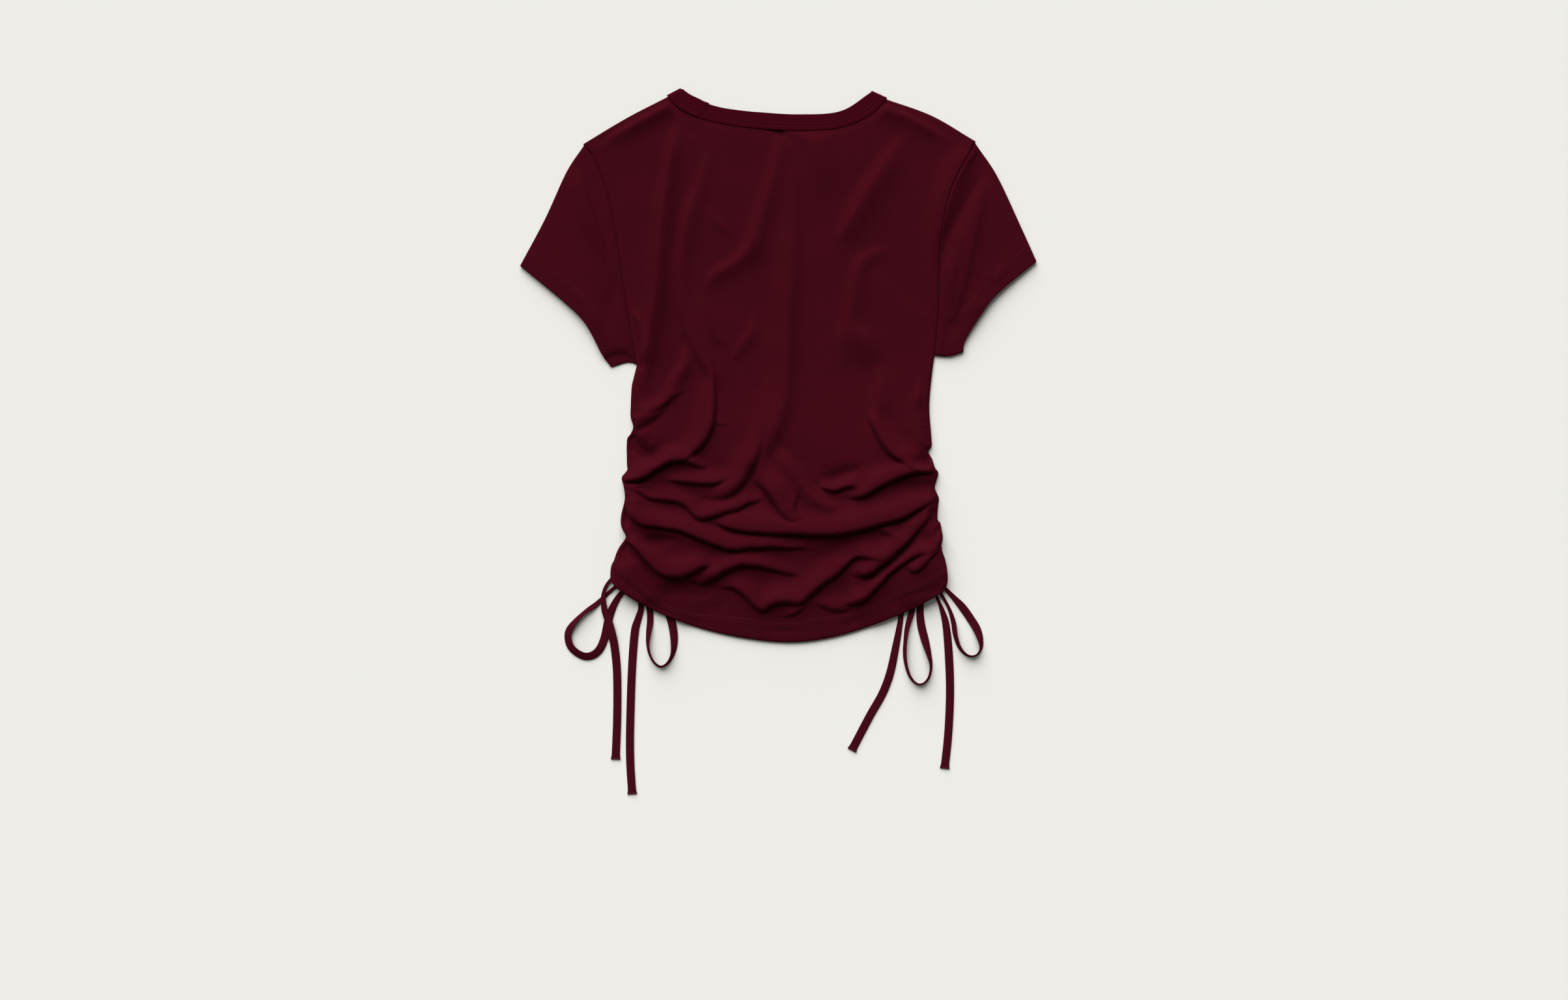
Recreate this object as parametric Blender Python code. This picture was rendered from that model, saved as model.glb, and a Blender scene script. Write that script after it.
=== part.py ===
"""A side-cinch t-shirt laid flat, its back upwards.

All sizes are in millimetres and are scaled to metres when a mesh is written.
The shirt lies on the plane z = 0. +Y runs from the hem to the neck and +X to the
right sleeve, seen from above. The front panel lies on the plane and the back panel
on it. Each side is gathered by a drawstring that is tied in a bow below the hem.
"""

from collections import namedtuple
from functools import partial
import math

import bpy
import numpy as np

MM = 0.001

# Cloth and clearances.
CLOTH = 1.3            # wall of one layer
SEAM_GAP = 0.3         # between pieces that are sewn together
BACK_TOP = 3.5         # upper surface of the back where it lies smooth
SIDE_TOP = CLOTH + SEAM_GAP + CLOTH    # upper surface of the back at a side seam
BAND_THICK = 1.4       # neckband, folded double
TIE_THICK = 1.6        # drawstring, turned and pressed
TIE_FLOOR = 0.3        # gap below a drawstring
KNOT_RADIUS = 9.0
KNOT_HEIGHT = 5.6

# Distances over which a fold fades towards an edge.
SIDE_ROLL = 9.0
SEAM_FADE = 14.0
HEM_FADE = 26.0
HEM_FOLD_SHARE = 0.35  # what is left of a fold at the stitched hem

# Grid of the panels.
SHOULDER_SPANS = 4
NECK_SPANS = 12
ARMHOLE_SPANS = 10
SIDE_SPANS = 32
FRONT_SIDE_SPANS = 19
FRONT_GRADING = 1.5    # gathers the front's rows towards the hem, where it is lifted
SIDE_INFLUENCE = 3     # how fast the waves of a side edge die out across a panel
SLEEVE_STATIONS = 8
FOLD_OVER_SPANS = 4    # of the neckband where it turns under at a shoulder
FRONT_HEM_INSET = 2.0  # the front's hem lies a little above the back's

# Outlines in plan, each as the points that a smooth curve runs through.
HEM = [(-165.7, -211.3), (-153, -222.7), (-122, -240.3), (-80, -256.6), (-35, -267),
       (10, -271.3), (50, -266.7), (90, -255), (130.8, -238.3), (160.3, -221.7)]
LEFT_SIDE = [(-165.7, -211.3), (-161.3, -190), (-151, -168), (-154.6, -148), (-150.5, -130),
             (-154, -111), (-148, -98), (-149.6, -75), (-144, -60), (-146, -34), (-140, 1)]
RIGHT_SIDE = [(160.3, -221.7), (167.4, -210.6), (160.4, -188), (160.4, -166), (156, -152),
              (156.8, -130), (152.5, -118), (155.8, -106), (146.5, -84), (148.8, -68),
              (147.5, -45), (152.3, 10.5)]
LEFT_ARMHOLE = [(-140, 1), (-147.3, 44.6), (-156.9, 107.4), (-166.2, 159.3),
                (-180.5, 200.6), (-192.6, 217.8)]
RIGHT_ARMHOLE = [(152.3, 10.5), (155.9, 59), (158, 125), (168.9, 175.5), (192.6, 220.3)]
LEFT_SHOULDER = [(-192.6, 217.8), (-150, 243.3), (-109, 264.5)]
RIGHT_SHOULDER = [(104.4, 262), (150, 245.4), (192.6, 220.3)]
BACK_NECK = [(-109, 264.5), (-96, 252), (-70, 241.5), (-30, 234.5), (20, 231.7),
             (60, 234.6), (89.8, 247.5), (104.4, 262)]
BAND_TOP = [(-96, 270.5), (-79, 260.2), (-50, 251.7), (20, 247.1), (60, 250.3), (89.6, 268.6)]
FRONT_NECK = [(-109, 264.5), (-97, 225), (-66, 178), (0, 150), (63, 178), (93, 223), (104.4, 262)]
FRONT_BAND_TOP = [(-96, 270.5), (-84, 232), (-56.5, 189), (0, 164.4), (53, 189), (79, 230),
                  (89.6, 268.6)]
LEFT_SLEEVE_TOP = [(-192.6, 217.8), (-209, 190.8), (-230, 145), (-254.7, 98.5)]
LEFT_SLEEVE_HEM = [(-165.3, -1), (-174.2, 11.2), (-190, 40.6), (-210, 61.4), (-254.7, 98.5)]
LEFT_UNDERARM = [(-140, 1), (-148.4, 3.6), (-165.3, -1)]
RIGHT_SLEEVE_TOP = [(192.6, 220.3), (213, 188), (236.3, 138.7), (252.5, 102.8)]
RIGHT_SLEEVE_HEM = [(180.3, 13.5), (183.3, 26.6), (204, 58.9), (220, 75.9), (252.5, 102.8)]
RIGHT_UNDERARM = [(152.3, 10.5), (166, 9.4), (180.3, 13.5)]

# One row for each large fold of the back: its height, the width of its lit slope
# (on the left of the path's direction) and of its shaded slope, and its crest.
Fold = namedtuple("Fold", "height lit shade crest")
BACK_FOLDS = [
    Fold(4.0, 10, 7, [(-143, -20), (-125, 45), (-115, 150), (-100, 235)]),
    Fold(4.0, 12, 8, [(-66, -30), (-76, 8), (-97, 70), (-92, 140), (-66, 206)]),
    Fold(2.5, 12, 8, [(-68, 80), (-36, 106), (-20, 145), (3, 222)]),
    Fold(5.0, 22, 10, [(-58, -127), (-22, -80), (6, 10), (8, 180)]),
    Fold(3.5, 14, 9, [(50, 112), (76, 162), (118, 226)]),
    Fold(2.5, 10, 8, [(146, 50), (146, 104), (152, 158), (172, 205)]),
    Fold(6.0, 9, 7, [(-170, -62), (-122, -43), (-106, -20), (-92, 10)]),
    Fold(8.0, 12, 7, [(-175, -112), (-110, -94), (-75, -66), (-66, -20)]),
    Fold(4.0, 9, 7, [(-172, -114), (-105, -129.5), (-77, -144.5), (-24, -126)]),
    Fold(4.0, 10, 8, [(0, -82), (24, -116), (60, -134)]),
    Fold(6.0, 10, 7, [(88, -50), (104, -76), (125, -93), (175, -96)]),
    Fold(6.0, 9, 7, [(48, -120), (85, -125), (112, -110), (175, -98)]),
    Fold(7.5, 12, 7, [(-60, -152), (30, -161), (105, -148), (178, -118)]),
    Fold(7.0, 11, 7, [(-175, -118), (-110, -157.5), (-55, -177), (30, -177)]),
    Fold(7.0, 12, 8, [(-175, -152), (-107, -201), (-58, -192), (28, -202)]),
    Fold(5.0, 10, 7, [(-64, -222), (-16, -230.5), (52, -202), (80, -180)]),
    Fold(6.5, 10, 7, [(84, -206), (102, -189), (137, -160), (170, -120)]),
    Fold(5.5, 9, 7, [(48, -236), (86, -221), (119, -192), (172, -132)]),
]
LEFT_SLEEVE_FOLDS = [Fold(3.0, 12, 9, [(-170, 105), (-181, 147), (-198, 198)])]
RIGHT_SLEEVE_FOLDS = [Fold(4.0, 14, 8, [(172, 58), (187, 120), (196, 180), (194, 215)])]
SLEEVE_PUFF = 3.0
SIDE_FULLNESS = 2.0    # extra loft beside the gathered stretch of a side seam
GATHER_TOP = -45.0     # where the gathers begin

# One row for each point of a drawstring's route, from its knot: the place in plan,
# the width there, how far it is rolled onto its edge (degrees) and how high it is
# lifted over a strand that it crosses.
TiePoint = namedtuple("TiePoint", "x y width roll lift")
LEFT_KNOT = (-138.0, -208.0)
RIGHT_KNOT = (142.0, -210.0)
TIES = {
    "loop_outer_left": [
        TiePoint(-147.3, -211.0, 4.0, 0, 0), TiePoint(-153, -213, 3.6, 0, 0),
        TiePoint(-160.6, -216.5, 3.4, 0, 0), TiePoint(-170, -224.5, 3.6, 0, 0),
        TiePoint(-180, -234, 5, 10, 0), TiePoint(-191, -241.6, 6, 55, 0),
        TiePoint(-199.5, -249.7, 7, 50, 0), TiePoint(-206, -258.5, 8, 30, 0),
        TiePoint(-207.6, -266, 8, 25, 0), TiePoint(-205.4, -274.7, 8, 25, 0),
        TiePoint(-199.5, -281, 8, 25, 0), TiePoint(-191, -285, 8, 20, 0),
        TiePoint(-182.6, -283.5, 8, 15, 0), TiePoint(-176, -277, 8, 10, 0),
        TiePoint(-171.6, -266, 8, 0, 0), TiePoint(-168.6, -252, 8, 0, 0),
        TiePoint(-165, -240, 7.5, 0, 0), TiePoint(-159.5, -229, 6, 0, 0),
        TiePoint(-152.5, -220, 4.6, 0, 0), TiePoint(-145.0, -214.9, 4.0, 0, 0)],
    "tail_outer_left": [
        TiePoint(-147.3, -205.3, 4.0, 0, 0), TiePoint(-155, -204.6, 3.6, 0, 0),
        TiePoint(-163.5, -208, 3.4, 0, 0), TiePoint(-170.0, -216, 3.6, 0, 1.6),
        TiePoint(-172.8, -226, 4.4, 0, 2.6), TiePoint(-171.6, -239, 6.4, 0, 2.4),
        TiePoint(-167.8, -250, 7.4, 0, 2.4), TiePoint(-164.6, -262, 8, 0, 2.4),
        TiePoint(-161.6, -278, 8, 0, 0.6), TiePoint(-159.5, -303, 8, 0, 0),
        TiePoint(-159.4, -344, 8, 0, 0), TiePoint(-160.9, -385.3, 8, 0, 0)],
    "tail_inner_left": [
        TiePoint(-138.9, -217.6, 4.0, 0, 0), TiePoint(-137.5, -226, 4.4, 0, 0),
        TiePoint(-136, -238, 5.6, 0, 0), TiePoint(-139, -249, 7, 0, 0),
        TiePoint(-142.2, -262, 8, 0, 0), TiePoint(-145, -300, 8, 0, 0),
        TiePoint(-146.7, -355, 8, 0, 0), TiePoint(-146.6, -388, 8, 0, 0),
        TiePoint(-144.7, -419.4, 8, 0, 0)],
    "loop_inner_left": [
        TiePoint(-134.0, -216.7, 4.0, 0, 0), TiePoint(-130.5, -225, 4.4, 0, 0),
        TiePoint(-127.6, -238, 6, 0, 0), TiePoint(-126.9, -250, 6.4, 0, 0),
        TiePoint(-128.4, -262, 6.4, 40, 0), TiePoint(-129.2, -272, 7, 65, 0),
        TiePoint(-127.6, -282, 7, 72, 0), TiePoint(-123, -291, 7, 74, 0),
        TiePoint(-116.4, -295.2, 7, 74, 0), TiePoint(-110, -292, 7, 72, 0),
        TiePoint(-105, -283.5, 7.4, 62, 0), TiePoint(-103.3, -272, 8, 35, 0),
        TiePoint(-104.3, -259, 8, 10, 0), TiePoint(-107.6, -246, 8, 0, 0),
        TiePoint(-114.5, -231, 6, 0, 0), TiePoint(-123, -219, 4.6, 0, 0),
        TiePoint(-129.7, -213.0, 4.0, 0, 0)],
    "tail_inner_right": [
        TiePoint(134.0, -215.4, 4.0, 0, 0), TiePoint(126.5, -223, 4.2, 0, 0),
        TiePoint(120.6, -238, 5, 0, 0), TiePoint(118.4, -253, 5.6, 0, 0),
        TiePoint(114, -277, 7.2, 0, 0), TiePoint(108.6, -302, 8, 0, 0),
        TiePoint(101, -322, 8, 0, 0), TiePoint(88.6, -344, 8, 0, 0),
        TiePoint(71.5, -376.6, 8, 0, 0)],
    "loop_inner_right": [
        TiePoint(137.8, -218.7, 4.0, 0, 0), TiePoint(132.8, -230, 4.4, 0, 0),
        TiePoint(129.4, -243, 6, 10, 0), TiePoint(125.4, -257, 6, 45, 0),
        TiePoint(123.7, -269, 6.4, 62, 0), TiePoint(123, -281, 7, 66, 0),
        TiePoint(124.2, -293, 7, 70, 0), TiePoint(128.2, -305, 7, 74, 0),
        TiePoint(134.8, -312, 7, 76, 0), TiePoint(141.5, -311.6, 7, 76, 0),
        TiePoint(147, -305, 7, 72, 0), TiePoint(148.8, -294, 7, 68, 0),
        TiePoint(146.4, -282, 7.4, 45, 0), TiePoint(142.6, -268, 8, 10, 0),
        TiePoint(139.2, -254, 8, 0, 0), TiePoint(138.2, -240, 7, 0, 0),
        TiePoint(140.4, -228, 4.6, 0, 0), TiePoint(143.0, -219.7, 4.0, 0, 0)],
    "tail_outer_right": [
        TiePoint(147.8, -217.8, 3.6, 0, 0), TiePoint(152, -223, 2.9, 0, 0),
        TiePoint(156.4, -231, 2.9, 0, 0), TiePoint(160.2, -241, 5, 0, 0),
        TiePoint(163.6, -254, 7, 0, 0), TiePoint(166.2, -280, 8, 0, 0),
        TiePoint(167.6, -318, 8, 0, 0), TiePoint(166, -359, 8, 0, 0),
        TiePoint(162.4, -394.3, 8, 0, 0)],
    "loop_outer_right": [
        TiePoint(151.9, -213.6, 3.4, 0, 0), TiePoint(156, -219.4, 2.9, 0, 0),
        TiePoint(161.4, -228.2, 2.9, 0, 0), TiePoint(167.2, -239.5, 3.4, 0, 0),
        TiePoint(171, -252, 5, 20, 0), TiePoint(172.9, -265, 6, 50, 0),
        TiePoint(177, -276.5, 7, 68, 0), TiePoint(183.5, -283.5, 7, 74, 0),
        TiePoint(190.5, -285, 7, 76, 0), TiePoint(196.2, -281, 7, 74, 0),
        TiePoint(198, -273, 7.4, 55, 0), TiePoint(194.4, -259.5, 8, 15, 0),
        TiePoint(187.6, -248, 8, 0, 0), TiePoint(179.5, -236.5, 7.6, 0, 0),
        TiePoint(170.5, -226.5, 5, 0, 0), TiePoint(162, -217.6, 3.4, 0, 0),
        TiePoint(152.4, -208.3, 3.4, 0, 0)],
}
LEADS = {
    "lead_front_left": [
        TiePoint(-142.6, -199.5, 4.4, 0, 0), TiePoint(-148, -186, 7, 0, 0),
        TiePoint(-149.5, -166, 7, 0, 0)],
    "lead_back_left": [
        TiePoint(-135.4, -198.6, 4.4, 0, 0), TiePoint(-137.5, -186, 7, 0, 0),
        TiePoint(-140.5, -166, 7, 0, 0)],
    "lead_front_right": [
        TiePoint(146.6, -201.5, 4.4, 0, 0), TiePoint(151.5, -188, 7, 0, 0),
        TiePoint(152.5, -168, 7, 0, 0)],
    "lead_back_right": [
        TiePoint(139.4, -200.6, 4.4, 0, 0), TiePoint(141.5, -188, 7, 0, 0),
        TiePoint(143.5, -168, 7, 0, 0)],
}
TIE_STEP = 7.0         # length of one span of a drawstring

# How far the front panel is lifted: over a knot, and over the strands around it.
KNOT_LIFT = 4.0
STRAND_LIFT = 2.4
KNOT_CROWN = (17.0, 38.0)      # distance from the knot where the lift starts and ends to fall
STRAND_CROWN = (54.0, 76.0)
BACK_LIFT_SHARE = 1.1  # the back clears the lifted front a little more


# ---------------------------------------------------------------- curves

def smooth_curve(points, per_span=12):
    """Dense points on a Catmull-Rom curve through the given points."""
    knots = np.array(points, float)
    knots = np.vstack([2 * knots[0] - knots[1], knots, 2 * knots[-1] - knots[-2]])
    steps = np.linspace(0.0, 1.0, per_span, endpoint=False)[:, None]
    spans = []
    for before, start, end, after in zip(knots, knots[1:], knots[2:], knots[3:]):
        spans.append(0.5 * (2 * start + (end - before) * steps
                            + (2 * before - 5 * start + 4 * end - after) * steps ** 2
                            + (3 * start - before - 3 * end + after) * steps ** 3))
    return np.vstack(spans + [knots[-2:-1]])


def lengths_along(curve):
    """Distance of each point of a polyline from its first point, in plan."""
    steps = np.linalg.norm(np.diff(curve[:, :2], axis=0), axis=1)
    return np.concatenate([[0.0], np.cumsum(steps)])


def at_fractions(curve, fractions):
    """Points of a polyline at fractions of its length."""
    travelled = lengths_along(curve)
    wanted = np.asarray(fractions) * travelled[-1]
    return np.column_stack([np.interp(wanted, travelled, column) for column in curve.T])


def even_points(points, spans, grading=1.0):
    """Points on the smooth curve through the given points, closer at its start if graded."""
    return at_fractions(smooth_curve(points), np.linspace(0.0, 1.0, spans + 1) ** grading)


def smoothstep(low, high, value):
    t = np.clip((value - low) / (high - low), 0.0, 1.0)
    return t * t * (3.0 - 2.0 * t)


def nearest_on(curve, x, y):
    """Distance to a polyline, the side (+1 on its left) and the fraction along it."""
    best = np.full(x.shape, np.inf)
    side = np.ones(x.shape)
    fraction = np.zeros(x.shape)
    travelled = lengths_along(curve)
    for i in range(len(curve) - 1):
        ax, ay = curve[i, :2]
        dx, dy = curve[i + 1, :2] - curve[i, :2]
        span = math.hypot(dx, dy)
        t = np.clip(((x - ax) * dx + (y - ay) * dy) / span ** 2, 0.0, 1.0)
        distance = np.hypot(x - ax - t * dx, y - ay - t * dy)
        closer = distance < best
        best = np.where(closer, distance, best)
        left = np.sign(dx * (y - ay) - dy * (x - ax))
        side = np.where(closer, left, side)
        fraction = np.where(closer, (travelled[i] + t * span) / travelled[-1], fraction)
    return best, side, fraction


# ---------------------------------------------------------------- heights

def fold_relief(folds, x, y):
    """Height that the folds add at each place; folds that meet blend and don't pile up."""
    squares = np.zeros(x.shape)
    for fold in folds:
        distance, side, fraction = nearest_on(smooth_curve(fold.crest, 6), x, y)
        width = np.where(side > 0, fold.lit, fold.shade)
        taper = smoothstep(0.0, 0.16, fraction) * smoothstep(0.0, 0.22, 1.0 - fraction)
        squares = squares + (fold.height * taper * np.exp(-(distance / width) ** 2)) ** 2
    return np.sqrt(squares)


def knot_distance(x, y):
    """Distance to the nearer knot."""
    left = np.hypot(x - LEFT_KNOT[0], y - LEFT_KNOT[1])
    right = np.hypot(x - RIGHT_KNOT[0], y - RIGHT_KNOT[1])
    return np.minimum(left, right)


def front_underside(x, y):
    """The front lies on the plane and rises over the knots and the strands beside them."""
    r = knot_distance(x, y)
    over_knot = KNOT_LIFT * (1.0 - smoothstep(*KNOT_CROWN, r))
    over_strands = STRAND_LIFT * (1.0 - smoothstep(*STRAND_CROWN, r))
    return over_knot + over_strands


def rolled(distance, reach):
    """Quarter-round rise from 0 at an edge to 1 at the given reach."""
    inward = np.clip(distance / reach, 0.0, 1.0)
    return np.sqrt(1.0 - (1.0 - inward) ** 2)


def back_top(x, y):
    """Upper surface of the back: smooth level, fullness at the sides, and folds."""
    lift = front_underside(x, y) * BACK_LIFT_SHARE
    to_side = np.full(x.shape, np.inf)
    for side in (LEFT_SIDE, RIGHT_SIDE):
        to_side = np.minimum(to_side, nearest_on(smooth_curve(side, 4), x, y)[0])
    to_seam = np.full(x.shape, np.inf)
    for seam in (LEFT_ARMHOLE, RIGHT_ARMHOLE, LEFT_SHOULDER, RIGHT_SHOULDER, BACK_NECK):
        to_seam = np.minimum(to_seam, nearest_on(smooth_curve(seam, 4), x, y)[0])
    to_hem = nearest_on(smooth_curve(HEM, 4), x, y)[0]
    gathered = 1.0 - smoothstep(GATHER_TOP - 25.0, GATHER_TOP + 25.0, y)
    relief = fold_relief(BACK_FOLDS, x, y)
    relief = relief + SIDE_FULLNESS * gathered * np.exp(-(to_side / 30.0) ** 2)
    relief = relief * smoothstep(0.0, SEAM_FADE, to_seam)
    relief = relief * (HEM_FOLD_SHARE + (1 - HEM_FOLD_SHARE) * smoothstep(0, HEM_FADE, to_hem))
    rise = BACK_TOP - SIDE_TOP + relief
    return SIDE_TOP + lift + rise * rolled(to_side, SIDE_ROLL)


def sleeve_top(folds, along, x, y, across):
    """Upper surface of a sleeve: level with the back at the armhole, puffed beyond it."""
    free = smoothstep(0.0, 0.35, along)
    puff = SLEEVE_PUFF * np.sin(math.pi * across) ** 0.7 * free * (1.0 - 0.55 * along)
    return BACK_TOP + puff + fold_relief(folds, x, y) * free


# ---------------------------------------------------------------- meshes

def sheet_grid(bottom, top, left, right):
    """Plan points of a sheet between four boundary polylines, rows from bottom to top."""
    u = lengths_along(bottom) / lengths_along(bottom)[-1]
    v = lengths_along(left) / lengths_along(left)[-1]
    u = u[None, :, None]
    v = v[:, None, None]
    ruled = (1 - v) * bottom[None] + v * top[None]
    left_wave = left[:, None] - ruled[:, :1]
    right_wave = right[:, None] - ruled[:, -1:]
    return ruled + (1 - u) ** SIDE_INFLUENCE * left_wave + u ** SIDE_INFLUENCE * right_wave


def new_mesh_object(name, points, faces, material):
    """A mesh object from points in millimetres."""
    mesh = bpy.data.meshes.new(name)
    mesh.from_pydata([tuple(point * MM) for point in points], [], faces)
    mesh.shade_smooth()
    mesh.set_sharp_from_angle(angle=math.radians(50))
    mesh.materials.append(material)
    obj = bpy.data.objects.new(name, mesh)
    bpy.context.scene.collection.objects.link(obj)
    return obj


def grid_faces(rows, columns, closed=False):
    """Quads of a grid of points; closed joins the last row to the first."""
    faces = []
    for i in range(rows if closed else rows - 1):
        below = i * columns
        above = (i + 1) % rows * columns
        for j in range(columns - 1):
            faces.append((below + j, below + j + 1, above + j + 1, above + j))
    return faces


def thicken(obj, thickness, offset):
    """Give a surface its wall: offset -1 grows it against the normals, +1 along them."""
    wall = obj.modifiers.new("Wall", "SOLIDIFY")
    wall.thickness = thickness * MM
    wall.offset = offset
    wall.use_quality_normals = True


def cloth_sheet(name, grid, material, offset):
    """One layer of cloth from a grid of points with their heights."""
    rows, columns = grid.shape[:2]
    obj = new_mesh_object(name, grid.reshape(-1, 3), grid_faces(rows, columns), material)
    thicken(obj, CLOTH, offset)
    return obj


def with_height(plan, height):
    return np.dstack([plan[..., 0], plan[..., 1], height])


# ---------------------------------------------------------------- pieces

def panel_plan(neck, side_spans, grading):
    """Plan grid of a body panel: hem, two sides with their armholes, shoulders and neck."""
    left = np.vstack([even_points(LEFT_SIDE, side_spans, grading)[:-1],
                      even_points(LEFT_ARMHOLE, ARMHOLE_SPANS)])
    right = np.vstack([even_points(RIGHT_SIDE, side_spans, grading)[:-1],
                       even_points(RIGHT_ARMHOLE, ARMHOLE_SPANS)])
    top = np.vstack([even_points(LEFT_SHOULDER, SHOULDER_SPANS)[:-1],
                     even_points(neck, NECK_SPANS)[:-1],
                     even_points(RIGHT_SHOULDER, SHOULDER_SPANS)])
    bottom = even_points(HEM, 2 * SHOULDER_SPANS + NECK_SPANS)
    return sheet_grid(bottom, top, left, right)


def make_back_panel(material):
    plan = panel_plan(BACK_NECK, SIDE_SPANS, 1.0)
    grid = with_height(plan, back_top(plan[..., 0], plan[..., 1]))
    return cloth_sheet("back_panel", grid, material, -1)


def make_front_panel(material):
    """The under layer, its outline just inside the back's, flat where it rests."""
    plan = panel_plan(FRONT_NECK, FRONT_SIDE_SPANS, FRONT_GRADING)
    plan[0, :, 1] += FRONT_HEM_INSET
    grid = with_height(plan, front_underside(plan[..., 0], plan[..., 1]))
    return cloth_sheet("front_panel", grid, material, 1)


def sleeve_loop(row, top, inset):
    """One closed section of a flat sleeve: its outside, or its inside at the given inset."""
    width = lengths_along(row)[-1]
    edge = CLOTH * 1.6 / width
    across = np.linspace(0.0, 1.0, ARMHOLE_SPANS + 1)[1:-1]
    across = np.concatenate([[edge], across, [1.0 - edge]])
    points = at_fractions(row, across)
    height = top(points[:, 0], points[:, 1], across)
    upper = np.column_stack([points, height - inset])
    lower = np.column_stack([points, np.full(len(points), float(inset))])[::-1]
    tips = at_fractions(row, [inset / width, 1.0 - inset / width])
    tips = np.column_stack([tips, height[[0, -1]] / 2])
    return np.vstack([tips[:1], upper, tips[1:], lower])


def ring_faces(first, second, count):
    """Quads between two rings of points that start at the given numbers."""
    return [(first + j, first + (j + 1) % count, second + (j + 1) % count, second + j)
            for j in range(count)]


def make_sleeve(name, armhole, hem, underarm, fold_edge, folds, material):
    """A flattened tube, open at the armhole and at the hem."""
    apart = np.array([math.copysign(SEAM_GAP * 1.35, armhole[0][0]), 0.0])
    armhole, underarm, fold_edge = (np.array(line, float) for line in
                                    (armhole, underarm, fold_edge))
    armhole += apart
    underarm[0] += apart
    fold_edge[0] += apart
    plan = sheet_grid(even_points(armhole, ARMHOLE_SPANS), even_points(hem, ARMHOLE_SPANS),
                      even_points(underarm, SLEEVE_STATIONS - 1),
                      even_points(fold_edge, SLEEVE_STATIONS - 1))
    plan[0] = even_points(armhole, ARMHOLE_SPANS)
    outside = []
    inside = []
    for station, row in enumerate(plan):
        along = station / (SLEEVE_STATIONS - 1)
        top = partial(sleeve_top, folds, along)
        outside.append(sleeve_loop(row, top, 0.0))
        inside.append(sleeve_loop(row, top, CLOTH))
    count = len(outside[0])
    half = SLEEVE_STATIONS * count
    last = half - count
    faces = ring_faces(half, 0, count) + ring_faces(last, half + last, count)
    for start in range(0, last, count):
        faces += ring_faces(start, start + count, count)
        faces += ring_faces(half + start + count, half + start, count)
    if armhole[0][0] > 0:
        faces = [face[::-1] for face in faces]
    points = np.vstack(outside + inside)
    return new_mesh_object(name, points, faces, material)


def band_rungs(seam, edge, height):
    """Pairs of points across the neckband, a little clear of the seam."""
    inner = even_points(seam, NECK_SPANS)
    outer = even_points(edge, NECK_SPANS)
    across = outer - inner
    inner = inner + across * (SEAM_GAP * 1.5 / np.linalg.norm(across, axis=1))[:, None]
    level = np.full((len(inner), 1), height)
    return np.hstack([inner, level]), np.hstack([outer, level])


def fold_over(inner_top, outer_top, low, away):
    """Rungs that carry the band round its folded end, from its upper to its lower run."""
    radius = (inner_top[2] - low) / 2
    rungs = []
    for step in range(1, FOLD_OVER_SPANS):
        angle = math.pi * step / FOLD_OVER_SPANS
        shift = away * radius * math.sin(angle)
        drop = np.array([0.0, 0.0, radius * (1.0 - math.cos(angle))])
        rungs.append((inner_top + shift - drop, outer_top + shift - drop))
    return rungs


def make_neckband(material):
    """One closed strip: along the back, under at a shoulder, along the front, and back up."""
    low = BAND_THICK / 2 + 0.05
    high = BACK_TOP - BAND_THICK / 2
    back_in, back_out = band_rungs(BACK_NECK, BAND_TOP, high)
    front_in, front_out = band_rungs(FRONT_NECK, FRONT_BAND_TOP, low)
    rungs = list(zip(back_in, back_out))
    for end in (-1, 0):
        across = back_out[end] - back_in[end]
        sign = 1.0 if end == -1 else -1.0
        away = sign * np.array([across[1], -across[0], 0.0]) / np.linalg.norm(across)
        turn = fold_over(back_in[end], back_out[end], low, away)
        if end == -1:
            rungs += turn
            rungs += list(zip(front_in[::-1], front_out[::-1]))
        else:
            rungs += turn[::-1]
    points = np.array(rungs).reshape(-1, 3)
    obj = new_mesh_object("neckband", points, grid_faces(len(rungs), 2, closed=True), material)
    thicken(obj, BAND_THICK, 0)
    return obj


def make_tie(name, route, material):
    """A flat strip along its route, lying on the plane or rolled onto its edge."""
    curve = smooth_curve([tuple(point) for point in route], 10)
    spans = max(6, round(lengths_along(curve)[-1] / TIE_STEP))
    places = at_fractions(curve, np.linspace(0.0, 1.0, spans + 1))
    ahead = np.gradient(places[:, :2], axis=0)
    ahead = ahead / np.linalg.norm(ahead, axis=1)[:, None]
    half = places[:, 2] / 2
    roll = np.radians(places[:, 3])
    centre = TIE_FLOOR + TIE_THICK / 2 * np.cos(roll) + half * np.sin(roll) + places[:, 4]
    reach = np.column_stack([-ahead[:, 1] * np.cos(roll), ahead[:, 0] * np.cos(roll),
                             np.sin(roll)]) * half[:, None]
    middle = np.column_stack([places[:, :2], centre])
    points = np.stack([middle + reach, middle - reach], axis=1).reshape(-1, 3)
    obj = new_mesh_object(name, points, grid_faces(len(places), 2), material)
    thicken(obj, TIE_THICK, 0)
    return obj


def make_knot(name, centre, material):
    """The bow's knot, pressed round and flat between the shirt and the plane."""
    bpy.ops.mesh.primitive_cylinder_add(
        vertices=20, radius=KNOT_RADIUS * MM, depth=KNOT_HEIGHT * MM,
        location=(centre[0] * MM, centre[1] * MM, (TIE_FLOOR + KNOT_HEIGHT / 2) * MM))
    obj = bpy.context.object
    obj.name = name
    obj.data.name = name
    obj.data.materials.append(material)
    edge = obj.modifiers.new("Round", "BEVEL")
    edge.width = 1.8 * MM
    edge.segments = 2
    edge.limit_method = "ANGLE"
    return obj


# ---------------------------------------------------------------- materials

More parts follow.
